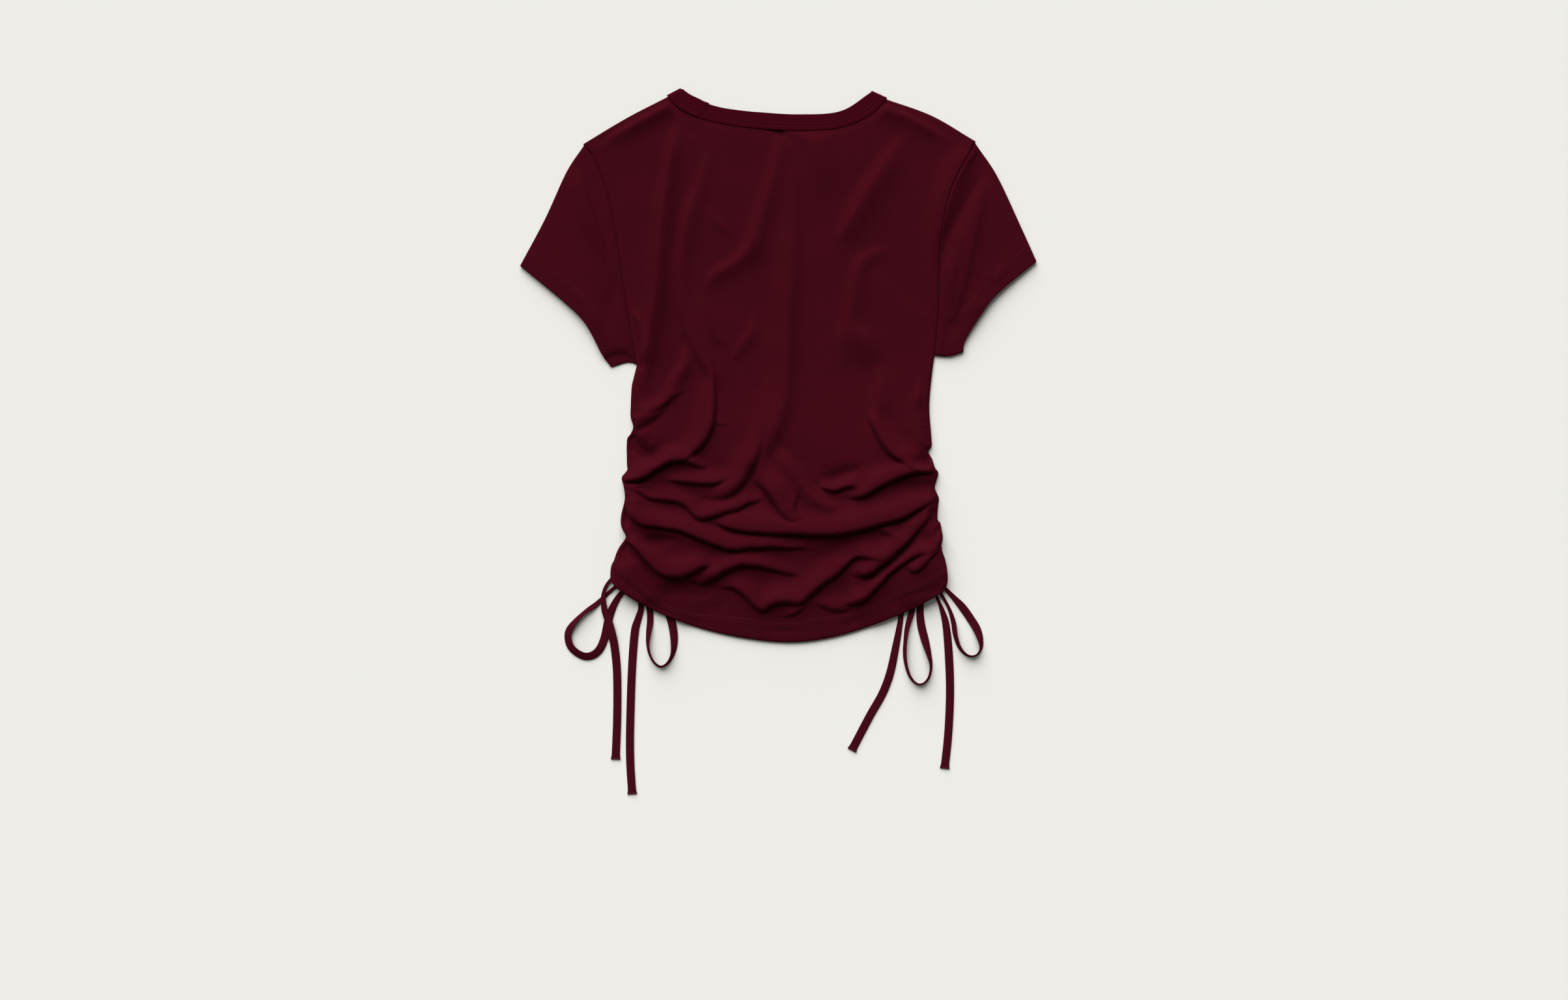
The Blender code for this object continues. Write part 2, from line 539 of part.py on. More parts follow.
def cloth_material(name, color, roughness):
    material = bpy.data.materials.new(name)
    material.use_nodes = True
    shader = material.node_tree.nodes["Principled BSDF"]
    shader.inputs["Base Color"].default_value = (*color, 1.0)
    shader.inputs["Roughness"].default_value = roughness
    shader.inputs["Metallic"].default_value = 0.0
    return material


def main():
    for obj in list(bpy.data.objects):
        bpy.data.objects.remove(obj, do_unlink=True)

    jersey = cloth_material("jersey", (0.048, 0.003, 0.008), 0.85)
    jersey_under = cloth_material("jersey_under", (0.040, 0.003, 0.007), 0.85)
    band = cloth_material("neckband_jersey", (0.052, 0.005, 0.009), 0.8)
    strip = cloth_material("tie_jersey", (0.060, 0.007, 0.012), 0.8)

    make_back_panel(jersey)
    make_front_panel(jersey_under)
    make_sleeve("sleeve_left", LEFT_ARMHOLE, LEFT_SLEEVE_HEM, LEFT_UNDERARM,
                LEFT_SLEEVE_TOP, LEFT_SLEEVE_FOLDS, jersey)
    make_sleeve("sleeve_right", RIGHT_ARMHOLE, RIGHT_SLEEVE_HEM, RIGHT_UNDERARM,
                RIGHT_SLEEVE_TOP, RIGHT_SLEEVE_FOLDS, jersey)
    make_neckband(band)
    make_knot("knot_left", LEFT_KNOT, strip)
    make_knot("knot_right", RIGHT_KNOT, strip)
    for name, route in {**TIES, **LEADS}.items():
        make_tie(name, route, strip)


main()
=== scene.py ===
"""The looks of a side-cinch t-shirt laid flat, its back upwards.

Tables are in millimetres, on the same axes as the frame: +X to the right sleeve, +Y to the
neck, +Z up from the surface that the shirt lies on. Meshes are written in metres.
"""

from collections import namedtuple
import math

import bpy
import numpy as np
from mathutils import Matrix, Vector, noise
from mathutils.bvhtree import BVHTree


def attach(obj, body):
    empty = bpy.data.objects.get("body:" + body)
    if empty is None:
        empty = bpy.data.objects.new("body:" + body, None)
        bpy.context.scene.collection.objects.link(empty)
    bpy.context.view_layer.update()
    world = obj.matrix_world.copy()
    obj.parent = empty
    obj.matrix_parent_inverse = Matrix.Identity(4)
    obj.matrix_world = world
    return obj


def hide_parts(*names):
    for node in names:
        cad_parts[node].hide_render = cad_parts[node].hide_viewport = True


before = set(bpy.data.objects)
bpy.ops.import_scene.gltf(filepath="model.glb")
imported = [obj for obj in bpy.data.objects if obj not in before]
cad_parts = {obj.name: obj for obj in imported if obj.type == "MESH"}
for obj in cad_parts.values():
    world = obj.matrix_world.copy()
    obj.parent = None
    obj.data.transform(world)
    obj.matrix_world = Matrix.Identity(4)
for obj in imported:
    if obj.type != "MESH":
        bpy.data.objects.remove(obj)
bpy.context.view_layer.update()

MM = 0.001
UP = np.array([0.0, 0.0, 1.0])

# Panels.
JERSEY = 0.9               # wall of one layer
BACK_TOP = 3.5             # upper surface of the back where it lies smooth
SIDE_TOP = 2.1             # and at a side seam, just above the front
LEAST_RISE = 0.3           # the back stays this much above its side seams
SIDE_ROLL = 5.0            # and comes down to them over this reach
HEM_DROOP = 1.3            # the back's hem comes down this much on the front
HEM_ROLL = 7.0             # over this reach
DROOP_ENDS = (4.0, 12.0)   # and less within the second distance from a side seam
HEM_STEP = 0.5             # a turned hem stands this much higher
HEM_STEP_EDGE = 0.8        # half the width of that step
FRONT_HEM_UP = 2.0         # the front's hem ends this much above the back's
FRONT_HEM_FADE = 30        # power by which that fades up the front
FRONT_FOLD_SHARE = 0.28    # height of the front's folds, as a share of the table's
FRONT_FOLD_REACH = 38.0    # how far they reach from the side seams
# Slow waviness of soft cloth: size of its waves, their height and a seed.
BACK_WAVES = [(42.0, 0.7, 3.1), (17.0, 0.25, 8.4)]
SLEEVE_WAVES = (38.0, 0.6, 5.7)

# Sleeves.
SLEEVE_TUCK = 1.4          # a sleeve's edge reaches this far under the panels
SLEEVE_DIP = 1.05          # and is drawn in this much there, on each side
TUCK_BLEND = (-0.6, 2.2)   # it is drawn in up to here from the seam, and free from there
TUCKED_WALL = 0.35         # share of its wall that is left there
SEAM_RIDGE = 0.35          # height of the seam allowance pressed under it
SEAM_ALLOWANCE = 8.0
ALLOWANCE_EDGE = 1.5       # width of the allowance's soft edge
SLEEVE_FREE = 0.30         # share of its length over which it comes free of the seam
POCKET_FREE = 0.1          # and the same for its pockets
DEEPEST_POCKET = 1.8
SLEEVE_PUFF = 3.0          # height of the air in it
PUFF_ROUND = 0.7
PUFF_LOSS = 0.55           # share of the puff that is gone at the cuff
EDGE_SPACE = 1.4           # where its flat part starts, in widths of its rounded edge

# Neckband.
BAND_THICK = 1.7           # folded double
BAND_REST = 0.05           # gap below its front half
BAND_LAP = 0.6             # it covers the panels' edges by this
BAND_STEP = 0.8            # and stands this much higher than they do
BAND_JOIN = -74.0          # x where its ends lap
BAND_JOIN_EDGE = 0.8       # width of the step there
BAND_JOIN_SLANT = 0.55     # share of that x taken from its free edge
BAND_JOIN_RISE = 0.6       # how far the upper end stands up, and past the free edge
BAND_JOIN_REACH = 1.2
# Section of a leaf, in half widths and half thicknesses: its points, and the sewn groove.
LEAF_POINTS = [-1.0, -0.93, -0.8, -0.62, -0.50, -0.44, -0.38, -0.26, 0.0, 0.3, 0.6, 0.86]
LEAF_EDGE = 0.7            # its thickness where it is sewn on
LEAF_GAP = 0.08            # half the slit between the two leaves
FOLD_START = 0.88          # where the fold between them starts
FOLD_ANGLES = [60, 30, 0, -30, -60]
GROOVE_AT = -0.44
GROOVE_DEPTH = 0.22
GROOVE_WIDTH = 0.07

# Drawstrings and knots.
TIE_THICK = 1.5
TIE_REST = 0.1             # gap below a drawstring
TIE_WIDTH = 8.0
TIE_PRESSED = 0.6          # below 1, the section is drawn out towards its corners
TAIL_FLARE = 1.0           # a tail widens by this over its last rings
FLARE_RINGS = 2
END_BAR = (2.2, TIE_WIDTH + 1.3, TIE_THICK + 0.25)   # a tail's sewn end
END_BEVEL = 0.45
KNOT_HEIGHT = 5.6
KNOT_RING = 6.0            # the strip wound round the knot: radius of its turn, and its own
KNOT_STRIP = 2.9
KNOT_PRESSED = (1.0, 0.86, 0.88)
KNOT_CORE = 5.2
CORE_PRESSED = (1.0, 1.0, 0.52)

# How far the panels are lifted: over a knot, and over the strands around it.
KNOT_LIFT = 4.0
STRAND_LIFT = 2.4
KNOT_CROWN = (17.0, 38.0)  # distances from the knot over which each lift fades
STRAND_CROWN = (54.0, 76.0)
BACK_LIFT_SHARE = 1.1

# Stitches.
STITCH_LENGTH = 1.5
STITCH_PITCH = 2.1
STITCH_THICK = 0.55
STITCH_RISE = 0.06         # its middle above the cloth
STITCH_SIDES = 6
DROP_HEIGHT = 100.0        # stitches are dropped on the cloth from here
ROW_GAP = 3.6
BIND_ROWS = (0.63, 0.81)   # where the neckband's two rows run, from its free edge

# Section of a fold, with distances from its crest in widths of the slope. A shaded slope is
# a steep side and a tail that fades slowly: the tail's share, and its reach.
SOFT_TAIL = (0.42, 3.6)
CRISP_TAIL = (0.38, 2.6)
CRISP_FOOT = 1.25          # where a crisp fold's steep side ends
CRISP_ROUND = (2.5, 0.9)   # powers that round its crest and its foot
CREASE_SHARE = 0.20        # depth of the crease at the foot, as a share of the height
CREASE_AT = 1.2
CREASE_WIDTH = 0.4
END_WIDTH = 0.55           # slopes narrow to this share where a crest dies out
FOLD_REACH = 4.5           # a fold is left out beyond this, in widths of its wider slope
CREST_LIMIT = (15.5, 7.0)  # crests level off above the first height, within the second
# Fullness of the folds: their heights, the widths of their lit and shaded slopes, their lean.
Fullness = namedtuple("Fullness", "height lit shade lean")
UPPER_FULLNESS = Fullness(1.8, 0.9, 1.1, 0.7)
LOWER_FULLNESS = Fullness(1.65, 1.3, 0.95, 0.5)
SLEEVE_FULLNESS = Fullness(1.4, 1.3, 1.0, 0.7)

# Distances over which folds fade towards an edge, and the shares of them left there.
SIDE_FADE = 14.0
SIDE_SHARE = 0.45
SEAM_FADE = 9.0
HEM_FADE = 24.0
HEM_FOLD_SHARE = 0.35
DIP_FADE = 5.0

# The gathers at the sides, between two places along Y, are fuller beside the seam.
GATHER_TOP = -45.0
GATHER_END = -205.0
GATHER_BLEND = 25.0
SIDE_FULLNESS = 2.0
FULLNESS_REACH = 30.0
BULK = 5.0                 # the gathered part stands this much higher
BULK_TOP = 10.0            # y where that starts, is most, and ends
BULK_CREST = -95.0
BULK_END = -265.0
# Fine pleats square to the gathered seams. Paces are radians for each millimetre of seam.
GATHERED_SEAM = 220.0
PLEAT_DEPTH = 0.9
PLEAT_PACE = 0.92
PLEAT_WANDER = (1.7, 0.11)         # how far the spacing wanders, and its pace
PLEAT_CHANGE = (0.4, 0.37, 2.1)    # share of the depth that changes, its pace and its start
PLEAT_LENGTH = (9.0, 5.0, 0.23)    # length, how much it changes, and the pace of that
PLEAT_FADE = 20.0
PLEAT_SEEDS = (0.4, 2.3)           # left and right

# Fineness of the meshes.
SHOULDER_SPANS = 36
NECK_SPANS = 100
ARMHOLE_SPANS = 104
SIDE_SPANS = 178
FRONT_SHARE = 0.45         # of the back's fineness, for the front
SLEEVE_STATIONS = 76
SLEEVE_SPANS = 100
SLEEVE_EDGE_SPANS = 4
FOLD_OVER_SPANS = 10       # neckband, round a shoulder
KNOT_RING_SPANS = (36, 14)
KNOT_CORE_SPANS = (24, 14)
END_BEVEL_SPANS = 3
TIE_RING = 14
TIE_RING_STEP = 2.2
LEAST_TIE_SPANS = 12
BIND_SPANS = 60
# And of the curves: steps between two points of a table.
OUTLINE_STEPS = 12
EDGE_STEPS = 4
CREST_STEPS = 5
SEAM_STEPS = 6
TIE_STEPS = 14
STITCH_STEPS = 16

# Finishes, with colours as linear values and sizes in metres.
BURGUNDY = (0.0520, 0.0034, 0.0082)
# The front's jersey is the same cloth as the back's, given a darker colour as painted shade where
# it lies under the back.
BURGUNDY_PAINTED_SHADE = (0.038, 0.0013, 0.0048)
BAND_BURGUNDY = (0.050, 0.0022, 0.0070)
TIE_BURGUNDY = (0.054, 0.0040, 0.0098)
# The thread keeps the jersey's hue and is made lighter as a painted highlight, where the raised
# stitches catch the light.
THREAD_PAINTED_HIGHLIGHT = (0.088, 0.009, 0.018)
SEWN_END = (0.068, 0.0075, 0.0160)
FLOOR = (0.868, 0.862, 0.815)
SKY = (1.0, 0.995, 0.98)
NAP_TINT = (1.0, 0.16, 0.24)
JERSEY_LOOP = 0.00055
FINE_LOOP = 0.0005
JERSEY_SHEEN = 0.03
TIE_SHEEN = 0.05
SHEEN_ROUGHNESS = 0.55
KNIT_BUMP = {"Strength": 0.35, "Distance": 0.0003}
COURSE_PITCH = 0.72        # turns of the courses for each turn of the wales
WALE_DEPTH = (0.8, 0.5)    # depth of the wales, and how much the courses change it
KNIT_HEIGHT = 0.35         # height of the knit beside the nap's
NAP = {"Scale": 900.0, "Detail": 3.0}
BROAD = {"Scale": 60.0, "Detail": 6.0, "Roughness": 0.65}
MOTTLE = 0.12
NAP_MOTTLE = 0.35
KNIT_ROUGHNESS = (0.46, 0.12)   # least, and how much the nap adds
THREAD_ROUGHNESS = 0.6
SEWN_ROUGHNESS = 0.7
FLOOR_ROUGHNESS = 0.9

# Stage.
VIEW_CENTRE = (4.5, -131.5)
VIEW_WIDTH = 1541.0
CAMERA_HEIGHT = 2400.0
SENSOR = 36.0
CLIP_END = 20.0            # metres, as the floor's size
FLOOR_SIZE = 8.0
FLOOR_GAP = 0.2
SUN_ELEVATION = 37.0       # degrees, as the next two
SUN_AZIMUTH = -15.0        # from +Y towards +X
SUN_WIDTH = 62.0
SUN_STRENGTH = 4.42
SKY_STRENGTH = 0.135

# Outlines in plan, each as the points that a smooth curve runs through.
HEM = [(-165.7, -211.3), (-153, -222.7), (-122, -240.3), (-80, -256.6), (-35, -267),
       (10, -271.3), (50, -266.7), (90, -255), (130.8, -238.3), (160.3, -221.7)]
LEFT_SIDE = [(-165.7, -211.3), (-165, -198), (-162, -191), (-160, -184.5), (-157, -178),
             (-150.4, -168), (-152.5, -163), (-155.2, -156), (-155.2, -146), (-151.6, -130.5),
             (-153, -117), (-154.7, -109.4), (-149, -102), (-149.7, -96), (-149.7, -73),
             (-146.4, -67), (-143.5, -59.4), (-146, -50), (-146, -38), (-145, -20),
             (-143, -11), (-140, 1)]
RIGHT_SIDE = [(160.3, -221.7), (164, -215), (164.8, -205), (162.6, -191), (160, -183),
              (158.8, -175), (160.2, -168.5), (157.8, -154), (155, -151), (156, -135),
              (156.4, -129), (152.6, -120), (154.3, -112), (156, -104.5), (152.4, -99.7),
              (149.7, -91), (146, -83.4), (149.4, -79), (149.2, -70), (147.3, -46),
              (147.6, -30), (150, -6), (152.3, 10.5)]
LEFT_ARMHOLE = [(-140, 1), (-147.3, 44.6), (-156.9, 107.4), (-166.2, 159.3),
                (-180.5, 200.6), (-192.6, 217.8)]
RIGHT_ARMHOLE = [(152.3, 10.5), (155.9, 59), (158, 125), (168.9, 175.5), (192.6, 220.3)]
LEFT_SHOULDER = [(-192.6, 217.8), (-150, 243.3), (-109, 264.5)]
RIGHT_SHOULDER = [(104.4, 262), (150, 245.4), (192.6, 220.3)]
BACK_NECK = [(-109, 264.5), (-96, 252), (-70, 241.5), (-30, 234.5), (20, 231.7),
             (60, 234.6), (89.8, 247.5), (104.4, 262)]
BAND_TOP = [(-96, 271.3), (-88.8, 266), (-79, 261.2), (-73, 258.3), (-57, 253.8),
            (-40, 251.2), (-20, 249.2), (20, 247.1), (60, 250.3), (89.6, 268.6)]
FRONT_NECK = [(-109, 264.5), (-97, 225), (-66, 178), (0, 150), (63, 178), (93, 223), (104.4, 262)]
FRONT_BAND_TOP = [(-96, 270.5), (-84, 232), (-56.5, 189), (0, 164.4), (53, 189), (79, 230),
                  (89.6, 268.6)]
LEFT_SLEEVE_TOP = [(-192.6, 217.8), (-209, 190.8), (-230, 145), (-254.7, 98.5)]
LEFT_SLEEVE_HEM = [(-165.3, -1), (-174.2, 11.2), (-190, 40.6), (-210, 61.4), (-254.7, 98.5)]
LEFT_UNDERARM = [(-140, 1), (-148.4, 3.6), (-165.3, -1)]
RIGHT_SLEEVE_TOP = [(192.6, 220.3), (213, 188), (236.3, 138.7), (252.5, 102.8)]
RIGHT_SLEEVE_HEM = [(180.3, 13.5), (183.3, 26.6), (204, 58.9), (220, 75.9), (252.5, 102.8)]
RIGHT_UNDERARM = [(152.3, 10.5), (166, 9.4), (180.3, 13.5)]

# Where the stitching that holds the hems runs.
HEM_STITCH = [(-163, -192), (-155.7, -197.3), (-146, -207), (-136.4, -215), (-127, -223),
              (-117, -231), (-104.4, -237.4), (-93, -242.2), (-80, -244.6), (-66, -245.4),
              (-50, -246.8), (-30, -249.1), (-10, -251.9), (0, -253.1), (8, -253.1),
              (20, -251.9), (27, -249.5), (40, -247.6), (58.5, -245.4), (72.4, -242.2),
              (90, -235.8), (110, -227), (123.7, -219.7), (138, -212.5), (146, -208.5),
              (163, -198)]
LEFT_CUFF_STITCH = [(-157.5, 4), (-164.4, 32), (-180.5, 55.5), (-198.5, 75), (-246, 114)]
RIGHT_CUFF_STITCH = [(165, 10), (168.5, 38), (186, 60.7), (205.7, 84), (244.5, 119)]

# One row for each fold: its height, the width of its lit slope (on the left of the
# crest's direction) and of its shaded slope, how far it leans over the shaded side,
# and its crest, each point with the share of the height that it has there.
Fold = namedtuple("Fold", "height lit shade lean crest")
UPPER_FOLDS = [
    Fold(3.6, 7, 8, 0.1, [(-121, -40.5, .2), (-109.5, -28, .8), (-101.5, -12.5, 1), (-94, 0.5, 1),
        (-91, 12.5, .8), (-86, 28, .2)]),
    Fold(6.4, 6.5, 11, 0.1, [(-143, -21.5, .5), (-130.5, 20.5, .8), (-123, 75.5, 1),
        (-119.5, 120.5, 1), (-113.5, 170, .9), (-107, 210, .7), (-101, 240, .2)]),
    Fold(4.0, 8, 11, 0.1, [(-65, -26, .2), (-67, -9, .7), (-78, 11, 1), (-88.5, 33.5, 1),
        (-95, 61, .8), (-98, 90, .8), (-94, 124.5, .9), (-87, 154, .9), (-78, 180.5, .6),
        (-70.5, 206, .2)]),
    Fold(4.2, 8, 11, 0.1, [(-73.5, 74, .2), (-62.5, 90.5, .6), (-42, 103, .7), (-28.5, 117.5, 1),
        (-18.5, 148, .9), (-8, 183, .7), (2, 220.5, .3)]),
    Fold(4.8, 18, 9, 0.1, [(-16, -92, .2), (-12, -78, .6), (-7, -66, .9), (-3, -54, 1), (5, -20, 1),
        (8, 60, .9), (13, 130, .6), (13, 185, .2)]),
    Fold(4.4, 7, 9, 0.1, [(-0.5, -79, .2), (6.5, -92.5, .8), (13.5, -103, 1), (20.5, -113.5, 1),
        (27.5, -122.5, 1), (34, -129.5, 1), (42, -135, .9), (51.5, -138, .7), (62, -139.5, .2)]),
    Fold(1.6, 6, 6, 0, [(-77, 155.5, .2), (-60.5, 141, 1), (-42.5, 125, .2)]),
    Fold(2.4, 6, 8, 0.1, [(-86.5, 80.5, .2), (-73.5, 54.5, 1), (-66, 33, .9), (-50.5, 21.5, .2)]),
    Fold(2.0, 6, 7, 0.1, [(-50.5, 2.5, .2), (-39.5, 16, .8), (-28.5, 33, 1), (-24, 53, .2)]),
    Fold(2.4, 7, 16, 0.1, [(37, 163, .3), (36, 185, .8), (35, 200, 1), (31, 216, 1),
        (20, 230, .4)]),
    Fold(4.4, 9, 15, 0.1, [(54, 112, .1), (59, 124, .2), (69, 141.5, .7), (79.5, 160, 1),
        (91, 180, 1), (105, 201.5, .8), (121, 224.5, .2)]),
    Fold(2.8, 8, 10, 0.1, [(61, -4, .2), (63.5, 30, .8), (70, 54.5, 1), (74, 79.5, 1),
        (79, 98.5, .9), (90, 109, .6), (104, 113, .2)]),
    Fold(3.0, 9, 15, 0, [(66, 50, .2), (75, 34, 1), (87, 21, 1), (98, 1, .2)]),
    Fold(2.6, 6, 9, 0, [(91, -56, .3), (95, -45, .8), (97, -32, 1), (98, -15, .8), (97, 2, .2)]),
    Fold(1.8, 6, 9, 0, [(133, -42, .2), (136, -30, 1), (138, -15.5, .2)]),
    Fold(3.0, 4, 15, 0, [(-167, 223, .3), (-148, 234, .9), (-128, 245, 1), (-113, 253, 1.2),
        (-104, 259, .6)]),
    Fold(2.6, 4, 15, 0, [(84, 262, .3), (97, 256, 1), (117, 248, 1), (137, 238, .9), (157, 227, .5),
        (172, 218, .2)]),
    Fold(2.2, 3, 3, 0, [(-139, 8, .4), (-137, 30, .9), (-138, 44, 1), (-144, 52, .5)]),
]
LOWER_FOLDS = [
    # Left side, from the armpit down.
    Fold(4.4, 6, 11, 0.1, [(-158, -53, 1), (-146, -51, 1), (-135, -46.5, 1), (-124, -40.5, .8),
        (-115, -35, .3)]),
    Fold(2.9, 5, 4.5, 0.3, [(-128, -43, .3), (-121, -40, .7), (-113, -34, 1), (-106.5, -28, .9),
        (-98.5, -25, .5), (-91.5, -22, .2)]),
    Fold(8.0, 6, 5.5, 0.4, [(-160, -105, 1), (-142, -106, 1), (-133.5, -104, 1), (-125.5, -98.5, 1),
        (-118, -94, 1), (-110, -89.5, 1), (-101, -87, 1), (-92.5, -88.5, .8), (-85, -93, .5),
        (-76.5, -97, .2)]),
    Fold(6.0, 9, 5, 0.3, [(-110, -92, .2), (-95.5, -88.5, .5), (-86.5, -83, .7), (-78.5, -75.5, .9),
        (-73, -66, 1), (-69, -55, 1), (-67.5, -40, .9), (-67, -20, .6), (-67.5, 6, .2)]),
    Fold(1.3, 4, 3, 0.1, [(-65, -49, .3), (-60, -55, 1), (-54, -57, .6), (-47, -57, .2)]),
    Fold(4.2, 6, 4, 0.3, [(-113, -110, .2), (-104, -110.5, .6), (-94, -111, 1), (-79, -112.5, 1),
        (-65, -112.5, 1), (-54.5, -109, .6), (-48, -104.5, .2)]),
    Fold(1.8, 3.5, 2.5, 0.1, [(-160, -115, 1), (-138, -116, 1), (-127, -117.5, .8),
        (-118, -121.5, .6), (-108, -126.5, .2)]),
    Fold(5.5, 7, 4.5, 0.3, [(-172, -112, .6), (-152, -115, .6), (-137, -120, .5), (-126, -127, .6),
        (-110, -129, .7), (-100.5, -130.5, .7), (-90, -134.5, .75), (-84, -140.5, .85),
        (-78.5, -145, 1), (-73.5, -145.5, 1), (-67.5, -144, 1), (-61.5, -142, 1), (-52, -138.5, 1),
        (-41.5, -136, .95), (-32, -131.5, .8), (-24.5, -130.5, .5), (-15.5, -127.5, .2)]),
    Fold(1.3, 3, 2.5, 0, [(-125, -146.5, .3), (-112, -151, 1), (-100.5, -155, 1), (-88, -158.5, 1),
        (-75, -160, .3)]),
    Fold(7.5, 10, 5.5, 0.4, [(-158, -119, 1), (-151, -130, 1), (-145.5, -138.5, 1),
        (-139, -145.5, 1), (-131.5, -150.5, 1), (-119, -152, 1), (-108.5, -154, 1), (-97, -156, 1),
        (-86.5, -160, 1), (-76, -164.5, 1), (-66, -169, 1), (-57.5, -171.5, 1), (-49.5, -174, 1),
        (-40, -174, 1), (-30, -173, .9), (-20, -173.5, .8), (-10, -173, .75), (0, -174, .65),
        (10, -175, .5), (20, -175.5, .35), (31.5, -178, .1)]),
    Fold(8.5, 9, 5.5, 0.4, [(-176.5, -150.5, 1), (-152, -160.5, 1), (-145, -167.5, 1),
        (-137.5, -173, 1), (-130.5, -181, 1), (-124, -188.5, 1), (-118.5, -194.5, 1),
        (-114, -198, 1), (-108.5, -200, 1), (-101, -201, 1), (-92, -199, .95), (-83, -195.5, .8),
        (-75, -192.5, .6), (-65.5, -191, .2)]),
    Fold(6.5, 8, 5.5, 0.35, [(-95.5, -203, .1), (-86.5, -207, .3), (-79, -210.5, .4),
        (-74.5, -210, .5), (-70.5, -207, .7), (-64.5, -202.5, 1), (-59, -199, 1), (-53.5, -196, 1),
        (-46.5, -193, 1), (-38, -190, 1), (-29, -191, .95), (-18.5, -192.5, .85),
        (-8.5, -195.5, .7), (1, -198.5, .5), (10.5, -201.5, .3), (19.5, -204, .1)]),
    # Middle.
    Fold(5.0, 9, 7, 0.2, [(-66.5, -126.5, .3), (-57.5, -124, .8), (-49.5, -120, 1),
        (-41.5, -113, 1), (-35.5, -104.5, 1), (-29.5, -92.5, 1), (-24, -80, .6), (-20, -66, .35),
        (-16.5, -48, .15)]),
    Fold(6.5, 14, 6, 0.2, [(-25.5, -109.5, .15), (-17.5, -114, .45), (-10.5, -119, .85),
        (-4, -127.5, 1), (3, -137.5, 1), (8, -142, 1), (13.5, -145, .8), (20, -145, .3)]),
    Fold(8.5, 12, 5.5, 0.4, [(-64, -150, .2), (-52, -153, .7), (-41, -155, .9), (-30, -156, 1),
        (-10, -157.5, 1), (20, -159, 1), (40, -160, 1), (59, -159, 1), (79, -155, 1),
        (98, -149.5, 1), (117.5, -144, 1), (126.5, -139.5, .9), (133.5, -136, .75),
        (142.5, -131.5, .5), (154.5, -124, .3), (171.5, -116, .2)]),
    Fold(4.2, 6, 4.5, 0.1, [(93.5, -156.5, .3), (104, -160, 1), (114, -164.5, .7),
        (121, -168, .2)]),
    Fold(6.0, 9, 5, 0.3, [(-56, -215.5, .2), (-47, -214, .6), (-40.5, -216, .8),
        (-33.5, -220.5, .9), (-28, -225.5, .9), (-23, -231.5, .9), (-17.5, -235.5, .9),
        (-15, -235, .9), (-11, -231.5, 1), (-4, -228.5, 1), (3, -227.5, 1), (10, -227.5, 1),
        (16, -228.5, 1), (20.5, -227, 1), (24, -224, 1), (32.5, -217, 1), (43.5, -208, 1),
        (50, -204, 1), (56.5, -198.5, 1), (62, -193, 1), (68, -187, .9), (75, -183, .9),
        (84.5, -182, 1.2), (95.5, -183.5, .9), (104, -187, .2)]),
    Fold(3.0, 7, 3.5, 0.2, [(2, -245, .2), (10, -242, .9), (16, -239.5, 1), (20.5, -235.5, 1),
        (23.5, -229.5, .8), (26.5, -223, .3)]),
    # Right side, from the armpit down.
    Fold(5.5, 7, 4.5, 0.25, [(88.5, -47, .2), (92.5, -54, .7), (96.5, -62, .9), (102, -72, 1),
        (107.5, -80, 1), (113.5, -86, 1), (120.5, -89, 1), (128, -94, .7), (136, -97, .2)]),
    Fold(4.0, 3, 4, 0.1, [(124, -92, .3), (131, -95.5, .9), (138, -97.5, 1), (145, -97, 1),
        (152, -95, 1), (165, -92, 1)]),
    Fold(4.0, 6, 4, 0.2, [(39.5, -115.5, .3), (46.5, -118, .9), (54, -120, 1), (60.5, -117.5, 1),
        (69, -115.5, 1), (74.5, -116, .8), (80.5, -119.5, .3)]),
    Fold(7.5, 8, 5, 0.4, [(70, -127, .2), (76.5, -125.5, .6), (85.5, -121.5, .8), (93, -115.5, 1),
        (101.5, -111, 1), (109.5, -107.5, 1), (118.5, -103.5, 1), (131, -99.5, 1), (143, -99, 1),
        (155, -98.5, 1), (172, -98, 1)]),
    Fold(9.0, 9, 7.5, 0.3, [(75.5, -202, .2), (80, -200.5, .7), (84.5, -199, .9), (88.5, -196, 1),
        (93, -191.5, 1), (97, -188.5, 1), (102.5, -184, 1), (108.5, -178.5, 1), (115, -172.5, 1),
        (122.5, -166, .85), (128.5, -159, .75), (137, -150.5, .6), (142.5, -143.5, .5),
        (145.5, -136, .5), (147, -127, .4)]),
    Fold(3.2, 7, 5, 0.2, [(34, -231, .2), (42, -232, .8), (50, -234.5, 1), (58, -236, 1),
        (66, -235.5, .6), (73, -234, .2)]),
    Fold(7.0, 6, 5, 0.3, [(64, -231.5, .2), (70.5, -230, .7), (76, -227.5, .9), (81.5, -224.5, 1),
        (85.5, -220.5, 1), (90.5, -215.5, 1), (96, -209.5, 1), (100, -204.5, 1), (106.5, -198, 1),
        (113, -193, 1), (119.5, -188.5, 1), (126.5, -184, .9), (134.5, -180.5, .9), (142, -179, .8),
        (149, -178, .3)]),
    Fold(7.0, 4, 4.5, 0.25, [(126.5, -194, .2), (130, -197, .8), (132, -196.5, 1), (136, -194, 1),
        (140, -189.5, 1), (144.5, -184, 1), (149.5, -179, 1), (153.5, -173, 1),
        (164.5, -162.5, 1)]),
    Fold(2.0, 3, 2.5, 0.1, [(149, -172, .3), (151, -161, 1), (154, -151, 1), (158, -144, .4)]),
]

